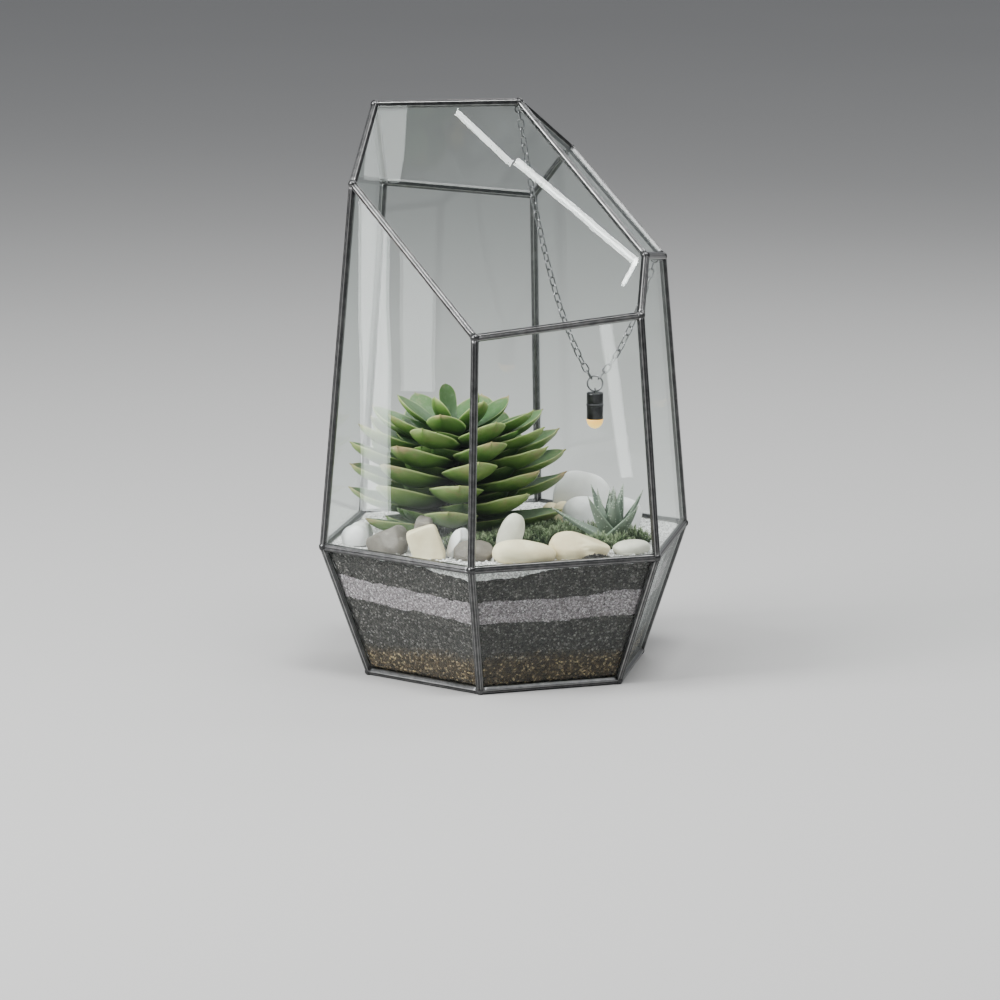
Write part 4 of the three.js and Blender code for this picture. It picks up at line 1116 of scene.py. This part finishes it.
def moundShape(m, x, y, radius):
    # a low dome with a lumpy skirt
    share = np.linspace(1, 0.05, 9)[:, None]
    v = wholeTurn(36)
    ragged = 0.94 + 0.12 * chance(m) + 0.08 * softNoise(polar(4.0, v[0], m * 9.0), 3, 1)
    foot = np.array([x, y, house["sandLevel"]])
    rings = foot + polar(radius * share * ragged, v, domed(share) + 0.1)
    rings[..., 2] += 0.35 * softNoise(rings, 1.6, 8)
    # rise 0 gives the dome the moss finish's darkest tone: a dark bed that is partly painted shade under the
    # sprigs
    return skin(foot, rings, foot + [0, 0, moss["crest"]], rise=0.0, own=0.3)


def sprigTemplate():
    # a thin stem with needles in a spiral, each a three-sided spike leaning up and out. The mark rise is the
    # share of the sprig's height
    k = np.arange(moss["needles"])
    u = k / (moss["needles"] - 1)
    height = moss["height"] * (0.15 + 0.85 * u)
    tilt = np.radians(60 - 48 * u ** 2)
    out = polar(1.0, k * 2.4, 0.0)
    direction = out * np.sin(tilt)[:, None] + upwards * np.cos(tilt)[:, None]
    side = np.cross(upwards, out)
    over = np.cross(direction, side)
    base = upwards * height[:, None]
    w = moss["needleWidth"] / 2
    length = moss["needle"] * (1 - 0.35 * k / moss["needles"])
    corners = [base + side * w, base - side * w, base + over * w * 1.3, base + direction * length[:, None]]
    needles = np.stack(corners, 1).reshape(-1, 3)
    spike = np.array([(0, 1, 2), (0, 3, 1), (1, 3, 2), (2, 3, 0)])
    tips = height + length * np.cos(tilt)
    rise = np.stack([height, height, height, tips], 1) / (moss["height"] + moss["needle"])
    stem = np.array([[0.14, 0, 0], [-0.07, 0.12, 0], [-0.07, -0.12, 0], [0, 0, moss["height"]]])
    stemFaces = np.array([(0, 2, 1), (0, 1, 3), (1, 2, 3), (2, 0, 3)]) + len(needles)
    faces = np.concatenate([repeated(spike, len(k), 4), stemFaces])
    return np.concatenate([needles, stem]), faces, np.concatenate([rise.ravel(), [0, 0, 0, 0.5]])


def sprigField():
    # copies of the sprig over each mound in a sunflower pattern, leaning outwards, each with its own size
    template, faces, rise = sprigTemplate()
    m = np.repeat(np.arange(len(moss["mounds"])), moss["sprigs"])
    k = np.tile(np.arange(moss["sprigs"]), len(moss["mounds"]))
    mound = np.array(moss["mounds"], float)[m]
    share = np.sqrt((k + 0.5) / moss["sprigs"]) * (0.94 + 0.12 * chance(m, k))
    heading = k * 2.39996 + m + 0.5 * chance(k, m + 3)
    place = polar(mound[:, 2] * share, heading, house["sandLevel"] + domed(share) - 0.5)
    place[:, :2] += mound[:, :2]
    lean = moss["lean"] * share + moss["leanSpread"] * (chance(k, m + 5) - 0.5)
    size = moss["least"] + moss["spread"] * chance(k, m + 9)
    points = template * size[:, None, None]
    turns = (("Z", 360 * chance(k, m + 7)), ("Y", lean), ("Z", np.degrees(heading)))
    for axis, degrees in turns:
        points = turnAbout(points, axis, degrees[:, None])
    own = np.repeat(chance(k, m + 11), len(template))
    allFaces = repeated(faces, len(k), len(template))
    return shape(points + place[:, None], [allFaces], rise=np.tile(rise, len(k)), own=own)


mounds = [moundShape(m, *mound) for m, mound in enumerate(moss["mounds"])]
newPiece("moss_bed", combine(mounds + [sprigField()]), mossSprigs, "moss", ["moss_mat"])
print("moss made")

# Pebbles

white, cream, grey = (whitePebble, "white_pebble"), (creamPebble, "cream_pebble"), (greyPebble, "grey_pebble")
brown, pale = (brownPebble, "grey_pebble"), (palePebble, "cream_pebble")
lowWhite = (palePebble, "white_pebble")
stones = {                    # where each sits, its width, depth and height, and how it is shaped and turned
    "stone_big_white": (white, [{"at": (31.5, 54.5), "size": (32, 14, 25), "turn": -4, "tilt": 6}]),
    "stone_back_white": (white, [{"at": (36, 28.5), "size": (21, 16, 16.4), "turn": 12, "seed": 2}]),
    "stone_right_white": (white, [
        {"at": (56.8, 31), "size": (20, 15, 16), "turn": 30, "tilt": 12, "seed": 3}]),
    "stone_upright_cream": (pale, [
        {"at": (9.5, -40.5), "size": (12.6, 10, 19), "tilt": 20, "turn": 8, "seed": 4}]),
    "stone_cream_oval": (cream, [
        {"at": (22.2, -73.6), "size": (33, 17, 10.8), "tilt": 3, "turn": 12, "taper": 0.12, "seed": 5}]),
    "stone_cream_dented": (cream, [
        {"at": (48.3, -57.2), "size": (32, 17, 12.6), "tilt": 5, "turn": 24, "taper": 0.2, "power": 2.4,
         "seed": 6, "facets": [((-0.35, -0.62, 0.7), 0.74), ((0.5, -0.1, 0.86), 0.72)],
         "dents": [((-0.28, -0.55, 0.7), 0.10, 0.2), ((-0.12, -0.78, 0.5), 0.16, 0.2),
                   ((0.05, -0.95, 0.25), 0.18, 0.2), ((0.2, -0.97, -0.05), 0.14, 0.22)]}]),
    "stone_low_white": (lowWhite, [{"at": (72, -40), "size": (21, 14, 6.4), "turn": 40, "seed": 7}]),
    "stone_brown": (brown, [
        {"at": (-4, -71.5), "size": (20, 11.5, 9.6), "turn": 5, "power": 2.8, "seed": 8, "rough": 2.2,
         "facets": [((-0.4, -0.7, 0.6), 0.7), ((0.5, -0.6, 0.6), 0.74)]}]),
    "stone_bluish_white": (white, [
        {"at": (-14, -63.4), "size": (9, 9.5, 14.6), "tilt": 20, "turn": 10, "power": 2.6, "seed": 9,
         "rough": 2.0,
         "facets": [((-0.6, -0.7, 0.4), 0.78), ((0.6, -0.75, -0.1), 0.7), ((0.3, -0.5, 0.8), 0.82)],
         "dents": [((0.45, -0.85, 0.15), 0.14, 0.25), ((0.1, -0.95, -0.1), 0.12, 0.22)]}]),
    "stone_cream_block": (cream, [
        {"at": (-29, -70.2), "size": (16.5, 11, 15.6), "tilt": -19, "turn": 6, "power": 6.5, "seed": 10,
         "facets": [((0.05, -1, 0.1), 0.86)]},
        {"at": (-32, -61.6), "size": (9.6, 9.5, 19.5), "tilt": 3, "power": 4.5, "seed": 21, "rough": 1.6,
         "finish": grey}]),
    "stone_grey_block": (grey, [
        {"at": (-51.5, -58), "size": (22.5, 13, 14), "turn": -22, "taper": -0.15, "power": 3.0, "seed": 11,
         "rough": 2.4,
         "facets": [((-0.5, -0.1, 0.86), 0.56), ((0.25, -0.8, 0.55), 0.74), ((0.88, -0.1, 0.46), 0.82),
                    ((-0.35, -0.93, 0.1), 0.8)]}]),
    "stones_left_pair": (white, [
        {"at": (-71.5, -42), "size": (15, 11, 10.4), "tilt": -16, "turn": -20, "seed": 12},
        {"at": (-70.5, -31), "size": (12, 12, 10), "seed": 13}]),
    "stones_small_pair": (cream, [
        {"at": (24, 39.6), "size": (12, 9, 11), "seed": 14},
        {"at": (16.5, 46), "size": (11, 10, 9), "turn": 30, "seed": 15}]),
    "stones_back_pair": (white, [
        {"at": (-37, 66), "size": (20, 14, 13), "turn": 30, "seed": 16},
        {"at": (-49.5, 58), "size": (16, 14, 10), "turn": 50, "seed": 17}]),
}


pebbleRings, pebbleAround = 72, 120
pebbleSunk = 0.62             # how far down a pebble is cut flat, as a share of its half height


def pebbleShape(stone):
    # a sphere's points drawn out to (|x|^p + |y|^p + |z|^p)^(-1/p), with lumps and shallow dents, worn
    # flatter past each facet's plane, slimmer to one end by taper, tilted, and cut flat where it sits
    power, seed = stone.get("power", 2.3), stone.get("seed", 1)
    width, depth, height = stone["size"]
    ball = ballRings(pebbleRings + 2, pebbleAround)
    ball = np.concatenate([[[0, 0, -1]], ball.reshape(-1, 3), [[0, 0, 1]]])
    radius = (np.abs(ball) ** power).sum(1) ** (-1 / power)
    lump = 1 + 0.035 * np.sin(2.6 * ball[:, 0] + seed) * np.cos(2.2 * ball[:, 1] + 1.7 * seed)
    rough = stone.get("rough", 1.0)
    lump += rough * 0.03 * softNoise(ball + seed * 7, 0.8, 1)
    lump += rough * 0.012 * softNoise(ball + seed * 3, 0.3, 2)
    for direction, dent, spread in stone.get("dents", []):
        lump -= dent * np.exp(-((ball - direction) ** 2).sum(1) / spread ** 2)
    points = ball * (radius * lump)[:, None]
    soft, wear = 0.04, 0.85   # of a facet: how far its edge is rounded, and the share worn off
    for direction, offset in stone.get("facets", []):
        normal = unit(np.array(direction))
        over = points @ normal - offset * lump
        points -= normal * (soft * np.log1p(np.exp(np.minimum(over / soft, 30))) * wear)[:, None]
    points[:, 1:] *= 1 - stone.get("taper", 0) * points[:, :1]
    halfHeight = height / (1 + pebbleSunk)
    points = turnAbout(points * [width / 2, depth / 2, halfHeight], "Y", stone.get("tilt", 0))
    points[:, 2] = np.maximum(points[:, 2] + pebbleSunk * halfHeight, 0)
    points = turnAbout(points, "Z", stone.get("turn", 0))
    points += [*stone["at"], house["sandLevel"] + house["clearance"]]
    return skin(points[0], points[1:-1].reshape(pebbleRings, pebbleAround, 3), points[-1])


for node, (finish, members) in stones.items():
    for own in (None, grey):
        shapes = [pebbleShape(stone) for stone in members if stone.get("finish") is own]
        if shapes:
            newPiece("pebble_" + node + ("_side" if own else ""), combine(shapes), *(own or finish), [node])
print("pebbles made")

# The lamp and its chain


def turnedShape(outline, around=48):
    # a closed outline of radius and height, turned about the lamp's axis
    r, z = np.array(outline, float).T[:, :, None]
    middle = np.array([*lamp["place"], 0])
    ends = [middle + upwards * outline[k][1] for k in (0, -1)]
    return skin(ends[0], polar(r, wholeTurn(around), z) + middle, ends[1])


def rounded(radius, low, high, soft, lowSoft=None):
    # a cylinder's outline with quarter-round edges
    lowSoft = soft if lowSoft is None else lowSoft
    turn = np.linspace(0, np.pi / 2, 5)
    foot = [(radius - lowSoft + lowSoft * np.sin(t), low + lowSoft - lowSoft * np.cos(t)) for t in turn]
    head = [(radius - soft + soft * np.cos(t), high - soft + soft * np.sin(t)) for t in turn]
    return foot + head


seam, lampRadius = lamp["seam"], lamp["radius"]
sleeve = {                    # distance out from the lamp's radius, foot, top, and the edges' radii
    "tube": (-0.05, lamp["bodyFoot"], seam - 1.5, 0.1, 0.12),
    "lip": (0.22, seam - 1.45, seam - 0.35, 0.3),
    "neck": (-0.3, seam - 0.3, seam, 0.05),
}
acrossChain = np.cross(upwards, chainDirection)
capOutline = rounded(lampRadius, seam, lamp["capTop"], *lamp["capEdges"])
tube, lip, neck = [rounded(lampRadius + out, *rest) for out, *rest in sleeve.values()]
bodyOutline = tube[:-1] + lip[1:-1] + neck[5:]
bailAt = np.array([*lamp["place"], lamp["capTop"] + lamp["bailLift"]])
capShape = combine([
    turnedShape(capOutline),
    torus(bailAt, acrossChain, upwards, lamp["bail"], lamp["bailWire"], 28, 12)])
newPiece("lamp_top_cap", capShape, lampSteel, "lamp_metal", ["lamp_cap"])
newPiece("lamp_sleeve", turnedShape(bodyOutline), lampSteel, "lamp_metal", ["lamp_body"])
domeTop, domeDepth = lamp["bodyFoot"] - 0.05, lamp["bodyFoot"] - lamp["bulbFoot"]
domeOutline = [
    (lampRadius * np.sin(t), domeTop - domeDepth * np.cos(t)) for t in np.linspace(0.04, np.pi / 2, 16)]
domeOutline.append((lampRadius - 0.3, lamp["bodyFoot"] + 0.05))
newPiece("lamp_dome", turnedShape(domeOutline), warmBulb, "warm_bulb", ["lamp_bulb"])
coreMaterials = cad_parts["lamp_core"].data.materials
coreMaterials.clear()
coreMaterials.append(cellSteel)

jumpRing = {"radius": 4.0, "wire": 0.9, "z": 143.85}
ringAt = np.array([*lamp["place"], jumpRing["z"]])
ringShape = torus(ringAt, chainDirection, upwards, jumpRing["radius"], jumpRing["wire"], 64, 12)
newPiece("lamp_jump_ring", ringShape, chainSteel, "chain_metal", ["jump_ring"])

chain = {
    "wire": 0.8, "length": 5.9, "width": 3.8,   # of a link
    "touch": 0.08,            # how deep neighbouring links press into each other
    "sag": 27.5, "section": 9,
    "twist": 45,              # degrees that the middle links are turned beyond those at the hooks
}


def linkShape(length):
    # round wire along a long oval: two half circles joined by straights
    bend = (chain["width"] - chain["wire"]) / 2
    straight = (length - chain["width"]) / 2
    turn = np.linspace(-np.pi / 2, np.pi / 2, 9)
    heading = np.concatenate([turn, turn + np.pi])[:, None]
    ends = np.repeat([straight, -straight], len(turn))[:, None]
    b = wholeTurn(chain["section"])
    points = polar(bend + chain["wire"] / 2 * np.cos(b), heading, chain["wire"] / 2 * np.sin(b))
    points[..., 0] += ends
    return closedTube(points, len(heading), chain["section"])


def hookIn(at, ring, clock):
    # the middle of a link's end, inside a ring and clear of the ring's wire; clock is in degrees from level
    reach = ring["radius"] - ring["wire"] / 2 - house["clearance"] - 1.1 * chain["wire"] / 2
    angle = np.radians(clock)
    return at + reach * (np.cos(angle) * chainDirection + np.sin(angle) * upwards)


def runShape(start, end):
    # links along a catenary z = sag * cosh((s - low) / sag) between two hook points, every second one turned
    # by a quarter, and all by up to twist more away from the hooks
    sag = chain["sag"]
    s1, s2 = [(p - apexRight) @ chainDirection for p in (start, end)]
    z1, z2 = start[2], end[2]
    low = (s1 + s2) / 2 - sag * np.arcsinh((z2 - z1) / (2 * sag * np.sinh((s2 - s1) / (2 * sag))))
    arc1, arc2 = sag * np.sinh((s1 - low) / sag), sag * np.sinh((s2 - low) / sag)
    total = abs(arc2 - arc1)
    ideal = chain["length"] - 2 * chain["wire"] + chain["touch"]
    count = 2 * int(np.floor(((total - chain["wire"]) / ideal - 1) / 2 + 0.5)) + 1
    pitch = (total - chain["wire"]) / count
    link = linkShape(pitch + 2 * chain["wire"] - chain["touch"])
    links = []
    for k in range(count):
        arc = arc1 + np.sign(s2 - s1) * (chain["wire"] / 2 + pitch * (k + 0.5))
        s = low + sag * np.arcsinh(arc / sag)
        z = z1 + sag * (np.cosh((s - low) / sag) - np.cosh((s1 - low) / sag))
        slope = np.degrees(np.arctan(np.sinh((s - low) / sag)))
        twist = chain["twist"] * min(1, k / 4, (count - 1 - k) / 4)
        points = turnAbout(link["points"], "X", 90 * (k % 2) + twist + 9 * (chance(k, 3) - 0.5))
        points = turnAbout(points, "Y", -slope)
        points = turnAbout(points, "Z", np.degrees(chainTurn))
        at = np.array([*(apexRight[:2] + s * chainDirection[:2]), z])
        links.append(shape(points + at, link["faces"]))
    return combine(links)


for run, high, clockHigh, clockLow in (("long", eyeletHigh, -85, 125), ("short", eyeletLow, -110, 55)):
    links = runShape(hookIn(high, eyelet, clockHigh), hookIn(ringAt, jumpRing, clockLow))
    newPiece("chain_run_" + run, links, chainSteel, "chain_metal", ["chain_" + run])
print("lamp and chain made")

# Floor, light and camera

floorReach = 14.0             # metres
floorCorners = [(x * floorReach, y * floorReach, 0) for x, y in ((-1, -1), (1, -1), (1, 1), (-1, 1))]
floorMesh = bpy.data.meshes.new("studio_floor")
floorMesh.from_pydata(floorCorners, [], [(0, 1, 2, 3)])
floorMesh.materials.append(floorFinish())
floor = bpy.data.objects.new("studio_floor", floorMesh)
bpy.context.collection.objects.link(floor)

world = bpy.data.worlds.new("soft_room")
bpy.context.scene.world = world
world.use_nodes = True
background = world.node_tree.nodes["Background"].inputs
background["Color"].default_value = (0.93, 0.95, 1.0, 1.0)
background["Strength"].default_value = 0.35

softLights = {                # in metres: place, the point faced, the long side's direction, size, and power
    "key": ((-1.25, -0.95, 1.15), (0, 0, 0.13), (0, 0, 1), (0.8, 0.8), 64.0),
    "overhead": ((-0.5, -0.3, 1.6), (0, 0, 0.13), (1, 0, 0), (0.8, 0.9), 13.0),
    "front_top": ((0.36, -0.62, 1.67), (0.03, 0.03, 0.08), (1, 0, 0), (0.5, 0.5), 30.0),
    "fill_right": ((1.14, -0.20, 1.51), (0, 0, 0.13), (0, 1, 0), (0.7, 0.7), 10.0),
    "back_top": ((0.35, 1.1, 1.15), (0, 0, 0.13), (1, 0, 0), (0.35, 1.1), 10.0),
    "streak_upper": ((0.3775, 0.108, 1.7204), (0, 0, 0.22), (-0.827, 0.318, 0.464), (0.0026, 0.062), 0.0274),
    "streak_lower": ((0.4623, 0.0822, 1.6759), (0, 0, 0.22), (-0.838, 0.293, 0.461), (0.0042, 0.129), 0.095),
    "streak_hook": ((0.514, 0.0533, 1.6418), (0, 0, 0.22), (0.216, 0.896, 0.387), (0.003, 0.022), 0.011),
    "roof_patch": ((0.30, 0.10, 1.74), (0, 0, 0.22), (0.3, -0.9, 0), (0.03, 0.12), 0.08),
    "left_band": ((-1.4746, -0.5458, 0.13), (0, 0, 0.13), (-0.032, 0.094, 0.995), (0.023, 0.34), 0.34),
    "left_band_inner": (
        (-1.4469, -0.5679, 0.178), (0, 0, 0.13), (-0.034, 0.094, 0.995), (0.025, 0.153), 0.07),
    "right_band": ((1.2323, -0.9977, 0.134), (0, 0, 0.13), (-0.103, -0.02, 0.995), (0.0095, 0.125), 0.034),
}
for name, (place, target, along, size, power) in softLights.items():
    light = bpy.data.lights.new(name, "AREA")
    light.shape = "RECTANGLE"
    light.size, light.size_y = size
    light.energy = power
    lightObject = bpy.data.objects.new(name, light)
    away = (Vector(place) - Vector(target)).normalized()
    across = Vector(along).cross(away).normalized()
    turned = Matrix((across, away.cross(across), away)).transposed()
    lightObject.location = place
    lightObject.rotation_euler = turned.to_euler()
    bpy.context.collection.objects.link(lightObject)

view = {                      # metres, but for the lens in millimetres
    "place": (0.4438, -2.5211, 0.5434), "direction": (-0.17185, 0.96939, -0.17540), "lens": 179.8,
}
camera = bpy.data.cameras.new("photo_view")
camera.lens = view["lens"]
camera.sensor_width = 36
camera.clip_start = 0.05
camera.clip_end = 60
cameraObject = bpy.data.objects.new("photo_view", camera)
cameraObject.location = view["place"]
cameraObject.rotation_euler = Vector(view["direction"]).to_track_quat("-Z", "Y").to_euler()
bpy.context.collection.objects.link(cameraObject)
bpy.context.scene.camera = cameraObject
print("stage made")
